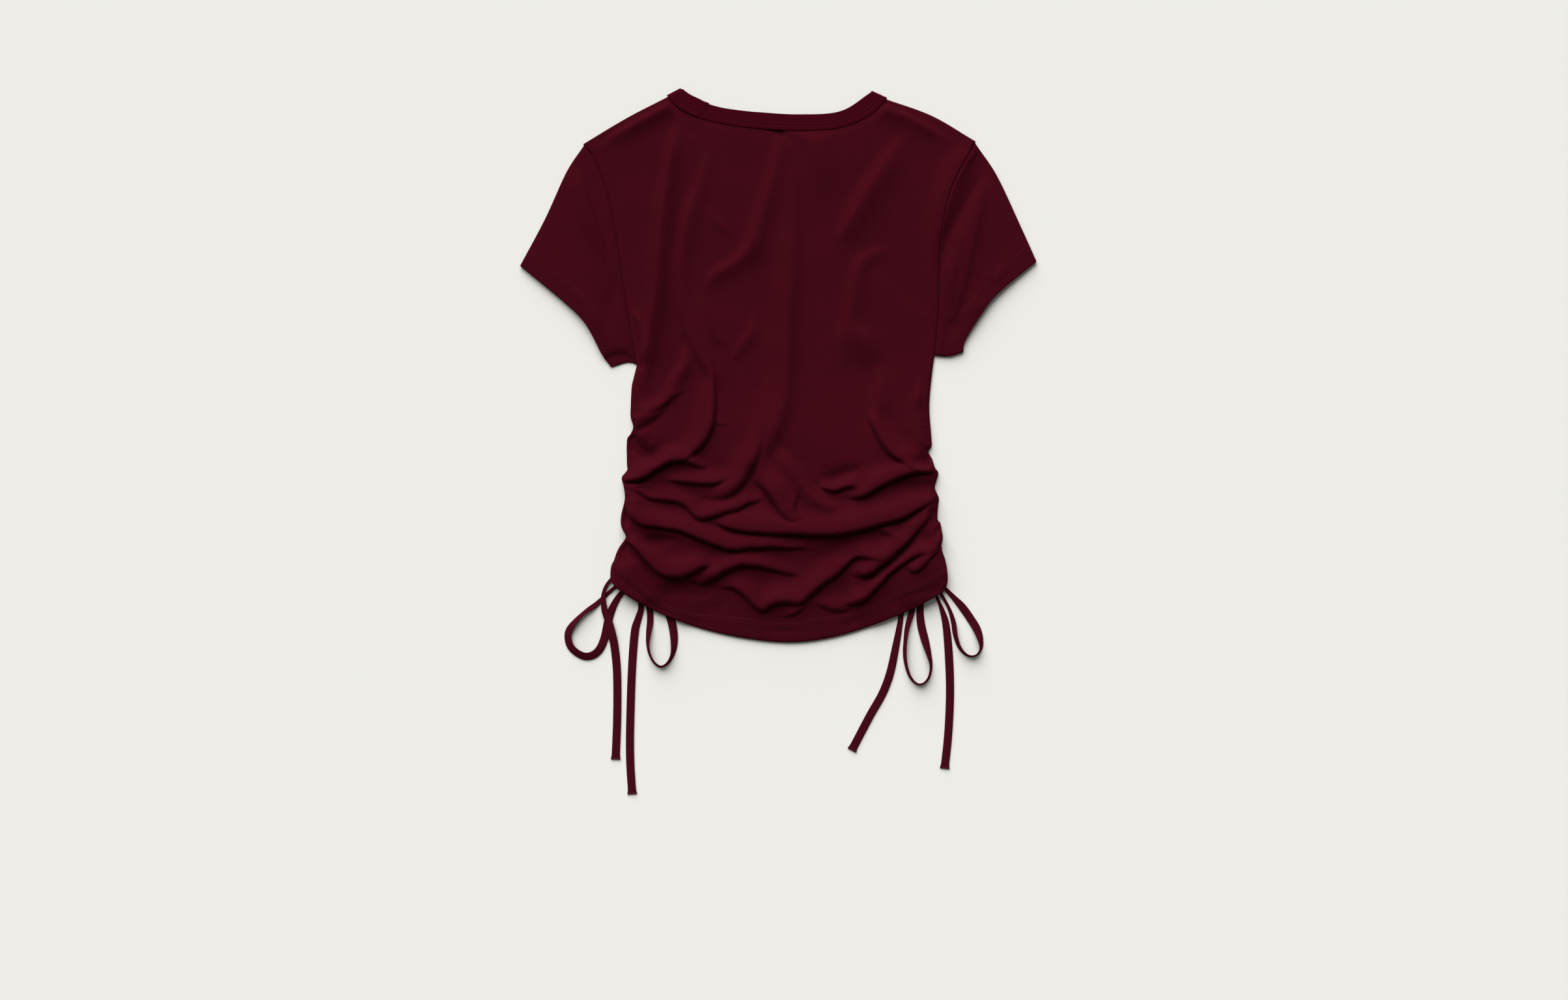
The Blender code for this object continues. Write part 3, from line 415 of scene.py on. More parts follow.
# Pockets between the folds: depth, upper slope, lower slope, no lean, and their floor.
HOLLOWS = [
    Fold(2.6, 9, 14, 0, [(-160, 217, .2), (-140, 226, .7), (-120, 236, 1), (-108, 243, 1.2),
        (-99, 250, .6)]),
    Fold(1.8, 8, 14, 0, [(80, 252, .3), (95, 245, 1), (115, 237, 1), (135, 228, .8),
        (155, 216, .2)]),
    Fold(1.2, 8, 8, 0, [(-92, 222, .4), (-86, 229, 1), (-78, 232, .4)]),
    Fold(3.5, 5, 4, 0, [(-158, -46, 1), (-138, -45.5, .9), (-128, -40, .2)]),
    Fold(9.5, 10, 4, 0, [(-158, -66, .8), (-150, -73, 1), (-141, -81, 1), (-132, -89.5, 1),
        (-124, -90, .8), (-116, -86, .4), (-108, -82, .2)]),
    Fold(3.0, 4, 4, 0, [(-158, -113, .8), (-150, -113, 1), (-142, -112.5, 1), (-134, -111, .6),
        (-127, -107, .2)]),
    Fold(8.5, 7, 4, 0, [(128, -90, .2), (135, -94, .9), (142, -95, 1), (148, -92, 1),
        (160, -86, 1)]),
    Fold(3.2, 9, 5, 0, [(104, -117, .2), (117, -116, .7), (130, -119, 1), (142, -120, 1),
        (156, -119, 1)]),
    Fold(4.5, 8, 4, 0, [(38, -116, .3), (50, -113.5, 1), (60, -109.5, 1), (69, -105, .8),
        (78, -101, .2)]),
    Fold(3.5, 7, 6, 0, [(-28, -95, .2), (-28.5, -104, .7), (-26, -112, .8), (-20, -119, 1),
        (-13, -128, .8), (-6, -137, .6), (0, -145, .2)]),
    Fold(3.5, 12, 5, 0, [(-130, -141, .3), (-115, -146, 1), (-100, -150, 1), (-88, -154, .6),
        (-78, -157, .2)]),
    Fold(9.0, 7, 6, 0, [(-156, -122, .5), (-154, -134, 1), (-150, -147, 1), (-142, -158, 1),
        (-133, -168, 1), (-124, -171, .9), (-114, -171, .5), (-104, -170, .2)]),
    Fold(6.2, 6, 5, 0, [(-151, -176, .9), (-144, -184, 1.1), (-136.5, -189, .9), (-130.5, -194, 1),
        (-125, -202, 1.1), (-119, -208, 1.1), (-111, -210, .4)]),
    Fold(6.0, 14, 5, 0, [(-120, -222, .3), (-110, -221, 1), (-95, -219, 1), (-80, -221, 1),
        (-70, -219, .8), (-60, -212, .3)]),
    Fold(4.5, 5, 5, 0, [(-124, -211, .4), (-119, -216, 1), (-113, -220, 1), (-107, -219, .3)]),
    Fold(5.5, 5, 4, 0, [(82, -206, .3), (89, -204.5, .9), (96, -200.5, 1), (102.5, -195.5, 1),
        (109, -190, 1), (115.5, -184.5, .9), (122, -178.5, .6), (128.5, -172, .3)]),
    Fold(4.8, 18, 6, 0, [(40, -188, .2), (62, -184, .8), (85, -180, .8), (105, -174, 1),
        (124, -163, .8), (137, -152, .4)]),
    Fold(4.5, 8, 5, 0, [(72, -194, .3), (79, -193.5, 1), (86, -194, 1), (94, -193, .9),
        (102, -191, .3)]),
    Fold(2.5, 5, 4, 0, [(72, -213, .2), (79, -215, 1), (86, -213, .3)]),
    Fold(6.0, 6, 5, 0, [(-158, -174, .4), (-154, -183, 1), (-151, -190, 1), (-149, -197, .3)]),
    Fold(1.2, 5, 5, 0, [(-72, -238, .2), (-62, -236.5, 1), (-52, -233, .2)]),
]
# Dips along the turned hem.
HEM_DIPS = [
    Fold(2.2, 3.5, 3, 0, [(-10, 233.5, .6), (0, 229, 1), (8, 223, .8), (13, 216, .2)]),
    Fold(1.0, 3.5, 3.5, 0, [(-163, -201, .6), (-148, -214.5, 1), (-135, -226, 1), (-125, -234.5, 1),
        (-112, -241.5, 1), (-98, -246.5, .9), (-85, -250, .7), (-69, -253.5, .5), (-55, -257, .3)]),
    Fold(1.3, 4, 4, 0, [(-10, -258.5, .2), (3, -260.5, 1), (18, -258.5, .2)]),
    Fold(1.3, 4, 4, 0, [(62, -255, .3), (70, -252.5, 1), (82, -248.5, .3)]),
    Fold(1.0, 4, 4, 0, [(101, -236, .2), (126, -225, .7), (150, -219.5, .5)]),
]
LEFT_SLEEVE_FOLDS = [
    Fold(3.5, 10, 5, 0.1, [(-172, 108, .2), (-177, 127, .7), (-184, 147, 1), (-190, 166, 1),
        (-195, 181, .9), (-203, 196, .2)]),
    Fold(1.5, 6, 5, 0.0, [(-176, 182, .3), (-184, 192, 1), (-192, 202, .3)]),
    Fold(2.0, 9, 9, 0.0, [(-172, 24, .3), (-186, 52, 1), (-205, 84, .6), (-222, 108, .2)]),
]
LEFT_SLEEVE_HOLLOWS = [
    Fold(1.2, 4, 4, 0.0, [(-198, 193, .3), (-186, 165, 1), (-173.5, 127, .6), (-170, 111, .2)]),
    Fold(1.5, 8, 8, 0.0, [(-158, 90, .3), (-166, 62, 1), (-170, 40, .3)]),
    Fold(4.2, 5, 5, 0.0, [(-171, 3, .4), (-162, 5, 1), (-153, 5.5, 1), (-145, 4, .4)]),
]
RIGHT_SLEEVE_FOLDS = [
    Fold(2.6, 20, 5, 0.2, [(172, 52, .2), (178, 72, .6), (183, 95, .8), (188.5, 120, 1),
        (194.5, 150, 1), (198, 180, .9), (196, 210, .4)]),
    Fold(2.0, 9, 8, 0.0, [(186, 36, .3), (198, 66, 1), (216, 92, .6), (228, 112, .2)]),
    Fold(2.0, 7, 5, 0.1, [(166, 60, .2), (169, 90, 1), (170, 118, .8), (172, 140, .2)]),
]
RIGHT_SLEEVE_HOLLOWS = [
    Fold(4.4, 9, 9, 0.0, [(197, 208, .3), (194, 195, .9), (191, 184, 1), (185, 171, 1),
        (180, 160, .9), (174.5, 147, .8), (168, 130, .6), (164, 110, .4)]),
    Fold(1.3, 5, 5, 0.0, [(209, 86, .3), (206, 80, 1), (197, 68, 1), (192, 62, .3)]),
    Fold(1.3, 5, 5, 0.0, [(176, 48, .3), (172, 39, 1), (169, 30, .3)]),
]
# The body's edge rolls up along the right armhole; this stays at the seam.
SEAM_ROLLS = [
    Fold(4.0, 9, 14, 0, [(149, 50, .2), (153, 80, .5), (153, 110, .6), (154, 135, .8),
        (157, 158, 1), (163.5, 179, 1), (170, 195, .9), (179, 209, .4)]),
    Fold(6.2, 16, 8, 0, [(151, 80, .3), (154, 120, .6), (162, 142, .8), (169.5, 160, 1),
        (177.5, 184, 1), (183.5, 203, .8), (187, 212, .3)]),
]

# What each sleeve is made from; outward is the way that it points along X.
Sleeve = namedtuple("Sleeve", "armhole hem underarm fold_edge folds hollows stitch outward")
SLEEVES = {
    "left": Sleeve(LEFT_ARMHOLE, LEFT_SLEEVE_HEM, LEFT_UNDERARM, LEFT_SLEEVE_TOP,
                   LEFT_SLEEVE_FOLDS, LEFT_SLEEVE_HOLLOWS, LEFT_CUFF_STITCH, -1.0),
    "right": Sleeve(RIGHT_ARMHOLE, RIGHT_SLEEVE_HEM, RIGHT_UNDERARM, RIGHT_SLEEVE_TOP,
                    RIGHT_SLEEVE_FOLDS, RIGHT_SLEEVE_HOLLOWS, RIGHT_CUFF_STITCH, 1.0),
}

# One row for each point of a drawstring's route, from its knot: the place in plan,
# the width there, how far it is rolled onto its edge (degrees) and how high it is
# lifted over a strand that it crosses.
TiePoint = namedtuple("TiePoint", "x y width roll lift", defaults=(0, 0))
KNOTS = {"left": (-138.0, -208.0), "right": (142.0, -210.0)}
TIES = {
    "loop_outer_left": [
        (-147.3, -211.0, 4.0), (-153, -213, 3.6), (-160.6, -216.5, 3.4), (-170, -224.5, 3.6),
        (-180, -234, 5, 10), (-191, -241.6, 6, 55), (-199.5, -249.7, 7, 50), (-206, -258.5, 8, 30),
        (-207.6, -266, 8, 25), (-205.4, -274.7, 8, 25), (-199.5, -281, 8, 25), (-191, -285, 8, 20),
        (-182.6, -283.5, 8, 15), (-176, -277, 8, 10), (-171.6, -266, 8), (-168.6, -252, 8),
        (-165, -240, 7.5), (-159.5, -229, 6), (-152.5, -220, 4.6), (-145.0, -214.9, 4.0)],
    "tail_outer_left": [
        (-147.3, -205.3, 4.0), (-155, -204.6, 3.6), (-163.5, -208, 3.4),
        (-170.0, -216, 3.6, 0, 1.6), (-172.8, -226, 4.4, 0, 2.6), (-171.6, -239, 6.4, 0, 2.4),
        (-167.8, -250, 7.4, 0, 2.4), (-164.6, -262, 8, 0, 2.4), (-161.6, -278, 8, 0, 0.6),
        (-159.5, -303, 8), (-159.4, -344, 8), (-160.9, -385.3, 8)],
    "tail_inner_left": [
        (-138.9, -217.6, 4.0), (-137.5, -226, 4.4), (-136, -238, 5.6), (-139, -249, 7),
        (-142.2, -262, 8), (-145, -300, 8), (-146.7, -355, 8), (-146.6, -388, 8),
        (-144.7, -419.4, 8)],
    "loop_inner_left": [
        (-134.0, -216.7, 4.0), (-130.5, -225, 4.4), (-127.6, -238, 6), (-126.9, -250, 6.4),
        (-128.4, -262, 6.4, 40), (-129.2, -272, 7, 65), (-127.6, -282, 7, 72), (-123, -291, 7, 74),
        (-116.4, -295.2, 7, 74), (-110, -292, 7, 72), (-105, -283.5, 7.4, 62),
        (-103.3, -272, 8, 35), (-104.3, -259, 8, 10), (-107.6, -246, 8), (-114.5, -231, 6),
        (-123, -219, 4.6), (-129.7, -213.0, 4.0)],
    "tail_inner_right": [
        (134.0, -215.4, 4.0), (126.5, -223, 4.2), (120.6, -238, 5), (118.4, -253, 5.6),
        (114, -277, 7.2), (108.6, -302, 8), (101, -322, 8), (88.6, -344, 8), (71.5, -376.6, 8)],
    "loop_inner_right": [
        (137.8, -218.7, 4.0), (132.8, -230, 4.4), (129.4, -243, 6, 10), (125.4, -257, 6, 45),
        (123.7, -269, 6.4, 62), (123, -281, 7, 66), (124.2, -293, 7, 70), (128.2, -305, 7, 74),
        (134.8, -312, 7, 76), (141.5, -311.6, 7, 76), (147, -305, 7, 72), (148.8, -294, 7, 68),
        (146.4, -282, 7.4, 45), (142.6, -268, 8, 10), (139.2, -254, 8), (138.2, -240, 7),
        (140.4, -228, 4.6), (143.0, -219.7, 4.0)],
    "tail_outer_right": [
        (147.8, -217.8, 3.6), (152, -223, 2.9), (156.4, -231, 2.9), (160.2, -241, 5),
        (163.6, -254, 7), (166.2, -280, 8), (167.6, -318, 8), (166, -359, 8), (162.4, -394.3, 8)],
    "loop_outer_right": [
        (151.9, -213.6, 3.4), (156, -219.4, 2.9), (161.4, -228.2, 2.9), (167.2, -239.5, 3.4),
        (171, -252, 5, 20), (172.9, -265, 6, 50), (177, -276.5, 7, 68), (183.5, -283.5, 7, 74),
        (190.5, -285, 7, 76), (196.2, -281, 7, 74), (198, -273, 7.4, 55), (194.4, -259.5, 8, 15),
        (187.6, -248, 8), (179.5, -236.5, 7.6), (170.5, -226.5, 5), (162, -217.6, 3.4),
        (152.4, -208.3, 3.4)],
}
LEADS = {
    "lead_front_left": [
        (-142.6, -199.5, 4.4), (-147, -186, 7), (-146.2, -166, 7)],
    "lead_back_left": [
        (-135.4, -198.6, 4.4), (-137.5, -186, 7), (-138.4, -166, 7)],
    "lead_front_right": [
        (146.6, -201.5, 4.4), (151.5, -188, 7), (152.5, -168, 7)],
    "lead_back_right": [
        (139.4, -200.6, 4.4), (141.5, -188, 7), (143.5, -168, 7)],
}


# ---------------------------------------------------------------- curves

def smooth_curve(points, steps=OUTLINE_STEPS):
    """Dense points on a Catmull-Rom curve through the given points."""
    knots = np.array(points, float)
    knots = np.vstack([2 * knots[0] - knots[1], knots, 2 * knots[-1] - knots[-2]])
    t = np.linspace(0.0, 1.0, steps, endpoint=False)[:, None]
    spans = []
    for before, start, end, after in zip(knots, knots[1:], knots[2:], knots[3:]):
        spans.append(0.5 * (2 * start + (end - before) * t
                            + (2 * before - 5 * start + 4 * end - after) * t ** 2
                            + (3 * start - before - 3 * end + after) * t ** 3))
    return np.vstack(spans + [knots[-2:-1]])


def lengths_along(curve):
    """Distance of each point of a polyline from its first point, in plan."""
    steps = np.linalg.norm(np.diff(curve[:, :2], axis=0), axis=1)
    return np.concatenate([[0.0], np.cumsum(steps)])


def fractions_along(curve):
    """The same as fractions of the whole length."""
    travelled = lengths_along(curve)
    return travelled / travelled[-1]


def at_fractions(curve, fractions):
    """Points of a polyline at fractions of its length."""
    travelled = lengths_along(curve)
    wanted = np.asarray(fractions) * travelled[-1]
    return np.column_stack([np.interp(wanted, travelled, column) for column in curve.T])


def even_points(points, spans):
    """Evenly spaced points on the smooth curve through the given points."""
    return at_fractions(smooth_curve(points), np.linspace(0.0, 1.0, spans + 1))


def smoothstep(low, high, value):
    """0 up to low, 1 from high on, and a smooth rise between them."""
    t = np.clip((value - low) / (high - low), 0.0, 1.0)
    return t * t * (3.0 - 2.0 * t)


def rising(low, share):
    """From low, where the share is 0, to 1, where it is 1."""
    return low + (1.0 - low) * share


def bell(distance, width):
    """1 at no distance, fading on both sides."""
    return np.exp(-(distance / width) ** 2)


def nearest_on(curve, x, y):
    """Distance to a polyline, the side, the fraction and the unit vector to its left there."""
    best = np.full(x.shape, np.inf)
    side = np.ones(x.shape)
    fraction = np.zeros(x.shape)
    left_x = np.zeros(x.shape)
    left_y = np.zeros(x.shape)
    travelled = lengths_along(curve)
    for i in range(len(curve) - 1):
        ax, ay = curve[i, :2]
        dx, dy = curve[i + 1, :2] - curve[i, :2]
        span = math.hypot(dx, dy)
        t = np.clip(((x - ax) * dx + (y - ay) * dy) / span ** 2, 0.0, 1.0)
        distance = np.hypot(x - ax - t * dx, y - ay - t * dy)
        closer = distance < best
        best = np.where(closer, distance, best)
        side = np.where(closer, np.sign(dx * (y - ay) - dy * (x - ax)), side)
        fraction = np.where(closer, (travelled[i] + t * span) / travelled[-1], fraction)
        left_x = np.where(closer, -dy / span, left_x)
        left_y = np.where(closer, dx / span, left_y)
    return best, side, fraction, left_x, left_y


def distance_to(lines, x, y):
    """Distance to the nearest of several curves."""
    return np.minimum.reduce([nearest_on(smooth_curve(line, EDGE_STEPS), x, y)[0]
                              for line in lines])


# ---------------------------------------------------------------- folds

def shaded_slope(distance, width, crisp):
    """Height on a fold's shaded side, from 1 at its crest."""
    share, reach = CRISP_TAIL if crisp else SOFT_TAIL
    steep = bell(distance, width)
    if crisp:
        round_crest, round_foot = CRISP_ROUND
        outward = np.clip(distance / (CRISP_FOOT * width), 0.0, 1.0)
        steep = (1.0 - outward ** round_crest) ** round_foot
    return (1.0 - share) * steep + share * np.exp(-distance / (reach * width))


def fold_relief(folds, x, y, crisp=False):
    """Height that folds add, depth of the creases at their feet, and how far they lean."""
    squares = np.zeros(x.shape)
    creases = np.zeros(x.shape)
    lean = np.zeros(x.shape + (2,))
    for fold in folds:
        crest = smooth_curve(fold.crest, CREST_STEPS)
        reach = FOLD_REACH * max(fold.lit, fold.shade)
        near = ((x > crest[:, 0].min() - reach) & (x < crest[:, 0].max() + reach)
                & (y > crest[:, 1].min() - reach) & (y < crest[:, 1].max() + reach))
        if not near.any():
            continue
        distance, side, fraction, left_x, left_y = nearest_on(crest, x[near], y[near])
        share = np.interp(fraction, fractions_along(crest), crest[:, 2])
        narrowing = rising(END_WIDTH, share)
        width = fold.shade * narrowing
        section = np.where(side > 0, bell(distance, fold.lit * narrowing),
                           shaded_slope(distance, width, crisp))
        rise = fold.height * share * section
        squares[near] += rise ** 2
        lean[near, 0] -= fold.lean * rise * left_x
        lean[near, 1] -= fold.lean * rise * left_y
        if crisp:
            foot = bell(distance / width - CREASE_AT, CREASE_WIDTH) * (side <= 0)
            creases[near] = np.maximum(creases[near], CREASE_SHARE * fold.height * share * foot)
    return np.sqrt(squares), creases, lean


def fuller(folds, fullness):
    """The same folds, all made fuller."""
    return [fold._replace(**{field: getattr(fold, field) * times
                             for field, times in fullness._asdict().items()})
            for fold in folds]


def gather_pleats(x, y, seam, seed):
    """Short fine pleats that leave a gathered side seam square to it."""
    distance, _, fraction, *_ = nearest_on(smooth_curve(seam, SEAM_STEPS), x, y)
    along = fraction * GATHERED_SEAM
    wander, pace = PLEAT_WANDER
    waves = np.sin(along * PLEAT_PACE + wander * np.sin(along * pace + seed))
    change, pace, start = PLEAT_CHANGE
    waves = waves * (1.0 - change + change * np.sin(along * pace + seed * start))
    length, change, pace = PLEAT_LENGTH
    length = length + change * np.sin(along * pace + seed)
    stretch = (smoothstep(GATHER_END, GATHER_END + PLEAT_FADE, y)
               * (1 - smoothstep(GATHER_TOP - PLEAT_FADE, GATHER_TOP, y)))
    return PLEAT_DEPTH * waves * bell(distance, length) * stretch


# ---------------------------------------------------------------- heights

def front_lift(x, y):
    """The front lies on the plane and rises over the knots and the strands beside them."""
    away = np.minimum.reduce([np.hypot(x - knot_x, y - knot_y)
                              for knot_x, knot_y in KNOTS.values()])
    over_knot = KNOT_LIFT * (1.0 - smoothstep(*KNOT_CROWN, away))
    over_strands = STRAND_LIFT * (1.0 - smoothstep(*STRAND_CROWN, away))
    return over_knot + over_strands


def rolled(distance, reach):
    """Quarter-round rise from 0 at an edge to 1 at the given reach."""
    inward = np.clip(distance / reach, 0.0, 1.0)
    return np.sqrt(1.0 - (1.0 - inward) ** 2)


def unevenness(x, y, size, depth, seed):
    """Slow waviness of soft cloth."""
    values = [noise.noise(Vector((a / size, b / size, seed)))
              for a, b in zip(x.ravel(), y.ravel())]
    return depth * np.array(values).reshape(x.shape)


def hem_band(x, y, stitch, hem_side):
    """1 on the turned hem, 0 on the single cloth; the hem is on one side of its stitches."""
    distance, side, *_ = nearest_on(smooth_curve(stitch, SEAM_STEPS), x, y)
    return smoothstep(-HEM_STEP_EDGE, HEM_STEP_EDGE, -distance * side * hem_side)


def bulk(y):
    """How much higher the gathered part stands."""
    falling = np.clip((y - BULK_END) / (BULK_CREST - BULK_END), 0.0, 1.0)
    return BULK * np.where(y > BULK_CREST, 1 - smoothstep(BULK_CREST, BULK_TOP, y),
                           np.sin(falling * math.pi / 2))


def gathered_relief(x, y, to_side):
    """Height of the gathers' own fullness: the bulk, the side seams' and the fine pleats."""
    gathered = 1.0 - smoothstep(GATHER_TOP - GATHER_BLEND, GATHER_TOP + GATHER_BLEND, y)
    relief = bulk(y) + SIDE_FULLNESS * gathered * bell(to_side, FULLNESS_REACH)
    for seam, seed in zip((LEFT_SIDE, RIGHT_SIDE), PLEAT_SEEDS):
        relief = relief + gather_pleats(x, y, seam, seed)
    return relief


def levelled_off(height):
    """The same heights, with the highest crests pressed down."""
    low, spare = CREST_LIMIT
    return np.where(height > low, low + spare * (1 - np.exp(-(height - low) / spare)), height)


def back_surface(x, y):
    """Height of the back's upper surface, and its lean in plan."""
    to_side = distance_to([LEFT_SIDE, RIGHT_SIDE], x, y)
    to_seam = distance_to([LEFT_ARMHOLE, RIGHT_ARMHOLE, LEFT_SHOULDER, RIGHT_SHOULDER,
                           BACK_NECK], x, y)
    to_hem = distance_to([HEM], x, y)
    upper, _, upper_lean = fold_relief(fuller(UPPER_FOLDS, UPPER_FULLNESS), x, y)
    lower, creases, lean = fold_relief(fuller(LOWER_FOLDS, LOWER_FULLNESS), x, y, crisp=True)
    relief = np.hypot(upper, lower) - creases + gathered_relief(x, y, to_side)
    for wave in BACK_WAVES:
        relief = relief + unevenness(x, y, *wave)
    relief = relief * rising(SIDE_SHARE, smoothstep(0, SIDE_FADE, to_side))
    relief = relief - fold_relief(HOLLOWS, x, y)[0] * smoothstep(0, SIDE_ROLL, to_side)
    calm = smoothstep(0.0, SEAM_FADE, to_seam)
    calm = calm * rising(HEM_FOLD_SHARE, smoothstep(0, HEM_FADE, to_hem))
    rise = np.maximum(BACK_TOP - SIDE_TOP + relief * calm, LEAST_RISE)
    height = levelled_off(SIDE_TOP + front_lift(x, y) * BACK_LIFT_SHARE
                          + rise * rolled(to_side, SIDE_ROLL))
    height = height + HEM_STEP * hem_band(x, y, HEM_STITCH, 1.0)
    droop = HEM_DROOP * (1.0 - rolled(to_hem, HEM_ROLL)) * smoothstep(*DROOP_ENDS, to_side)
    height = height - droop - fold_relief(HEM_DIPS, x, y)[0] * smoothstep(0.0, DIP_FADE, to_hem)
    height = height + fold_relief(SEAM_ROLLS, x, y)[0]
    free = calm * smoothstep(0.0, SIDE_ROLL, to_side)
    return height, (upper_lean + lean) * free[..., None]


def front_surface(x, y):
    """Height of the front's underside: flat on the plane, drawn up beside the gathers."""
    to_side = distance_to([LEFT_SIDE, RIGHT_SIDE], x, y)
    relief = fold_relief(LOWER_FOLDS, x, y)[0]
    near_side = bell(to_side, FRONT_FOLD_REACH) * smoothstep(0.0, SIDE_ROLL, to_side)
    return front_lift(x, y) + FRONT_FOLD_SHARE * relief * near_side


def sleeve_surface(sleeve, along, x, y, across):
    """Height of a sleeve's upper surface, at fractions of its length and of its width."""
    free = smoothstep(0.0, SLEEVE_FREE, along)
    middle = np.sin(math.pi * across)
    puff = SLEEVE_PUFF * middle ** PUFF_ROUND * free * (1.0 - PUFF_LOSS * along)
    relief = fold_relief(fuller(sleeve.folds, SLEEVE_FULLNESS), x, y)[0]
    relief = relief + unevenness(x, y, *SLEEVE_WAVES) * middle
    sunk = fold_relief(fuller(sleeve.hollows, SLEEVE_FULLNESS), x, y)[0]
    sunk = sunk * smoothstep(0.0, POCKET_FREE, along)
    band = HEM_STEP * hem_band(x, y, sleeve.stitch, sleeve.outward)
    rolls = fold_relief(SEAM_ROLLS, x, y)[0]
    return BACK_TOP + rolls + np.maximum(puff + relief * free - sunk, -DEEPEST_POCKET) + band


# ---------------------------------------------------------------- meshes

def sheet_grid(bottom, top, left, right):
    """Plan points of a sheet between four boundary polylines, rows from bottom to top."""
    u = fractions_along(bottom)[None, :, None]
    v = fractions_along(left)[:, None, None]
    ruled = (1 - v) * bottom[None] + v * top[None]
    left_wave = left[:, None] - ruled[:, :1]
    right_wave = right[:, None] - ruled[:, -1:]
    return ruled + (1 - u) ** 3 * left_wave + u ** 3 * right_wave


def finish_piece(piece, material):
    """Smooth the piece, give it its finish and let it ride on the frame."""
    piece.data.shade_smooth()
    piece.data.materials.append(material)
    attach(piece, "root")
    return piece


def new_piece(name, points, faces, material):
    """A mesh piece from points in millimetres."""
    mesh = bpy.data.meshes.new(name)
    mesh.from_pydata((np.asarray(points) * MM).tolist(), [], faces)
    piece = bpy.data.objects.new(name, mesh)
    bpy.context.scene.collection.objects.link(piece)
    return finish_piece(piece, material)


def ring_faces(first, second, count):
    """Quads between two rings of points that start at the given numbers."""
    return [(first + j, first + (j + 1) % count, second + (j + 1) % count, second + j)
            for j in range(count)]


def tube_faces(rings, count, closed=False):
    """Quads of a tube of rings of points; closed joins the last ring to the first."""
    faces = []
    for i in range(rings if closed else rings - 1):
        faces += ring_faces(i * count, (i + 1) % rings * count, count)
    return faces


def deselect_all():
    """Leave nothing selected, neither the frame's nodes nor earlier pieces."""
    for other in bpy.context.selected_objects:
        other.select_set(False)


def start_primitive(add, name, **shape):
    """A new primitive, alone in the selection."""
    deselect_all()
    add(**shape)
    piece = bpy.context.object
    piece.name = name
    return piece


# ---------------------------------------------------------------- panels

def panel_plan(neck, fineness):
    """Plan grid of a body panel: hem, two sides with their armholes, shoulders and neck."""
    side = round(SIDE_SPANS * fineness)
    armhole = round(ARMHOLE_SPANS * fineness)
    shoulder = round(SHOULDER_SPANS * fineness)
    across = round(NECK_SPANS * fineness)
    left = np.vstack([even_points(LEFT_SIDE, side)[:-1], even_points(LEFT_ARMHOLE, armhole)])
    right = np.vstack([even_points(RIGHT_SIDE, side)[:-1], even_points(RIGHT_ARMHOLE, armhole)])
    top = np.vstack([even_points(LEFT_SHOULDER, shoulder)[:-1], even_points(neck, across)[:-1],
                     even_points(RIGHT_SHOULDER, shoulder)])
    return sheet_grid(even_points(HEM, 2 * shoulder + across), top, left, right)


def make_panel(name, plan, height, offset, material):
    """One layer of jersey over a plan grid, its wall on one side of the given surface."""
    rows, columns = height.shape
    corner = np.arange(rows - 1)[:, None] * columns + np.arange(columns - 1)[None]
    quads = np.stack([corner, corner + 1, corner + columns + 1, corner + columns], axis=-1)
    points = np.dstack([plan, height]).reshape(-1, 3)
    piece = new_piece(name, points, quads.reshape(-1, 4).tolist(), material)
    wall = piece.modifiers.new("Wall", "SOLIDIFY")
    wall.thickness = JERSEY * MM
    wall.offset = offset
    wall.use_quality_normals = True
    deselect_all()
    bpy.context.view_layer.objects.active = piece
    piece.select_set(True)
    bpy.ops.object.modifier_apply(modifier=wall.name)
    return piece


def make_back_panel(material):
    """The back, with all the folds and gathers that show."""
    plan = panel_plan(BACK_NECK, 1.0)
    height, lean = back_surface(plan[..., 0], plan[..., 1])
    piece = make_panel("jersey_back", plan + lean, height, -1, material)
    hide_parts("back_panel")
    return piece


def make_front_panel(material):
    """The front, which lies face down under the back."""
    plan = panel_plan(FRONT_NECK, FRONT_SHARE)
    plan[..., 1] += FRONT_HEM_UP * np.linspace(1.0, 0.0, len(plan))[:, None] ** FRONT_HEM_FADE
    height = front_surface(plan[..., 0], plan[..., 1])
    piece = make_panel("jersey_front", plan, height, 1, material)
    for vertex in piece.data.vertices:
        vertex.co.z = max(vertex.co.z, 0.0)
    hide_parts("front_panel")


# ---------------------------------------------------------------- sleeves

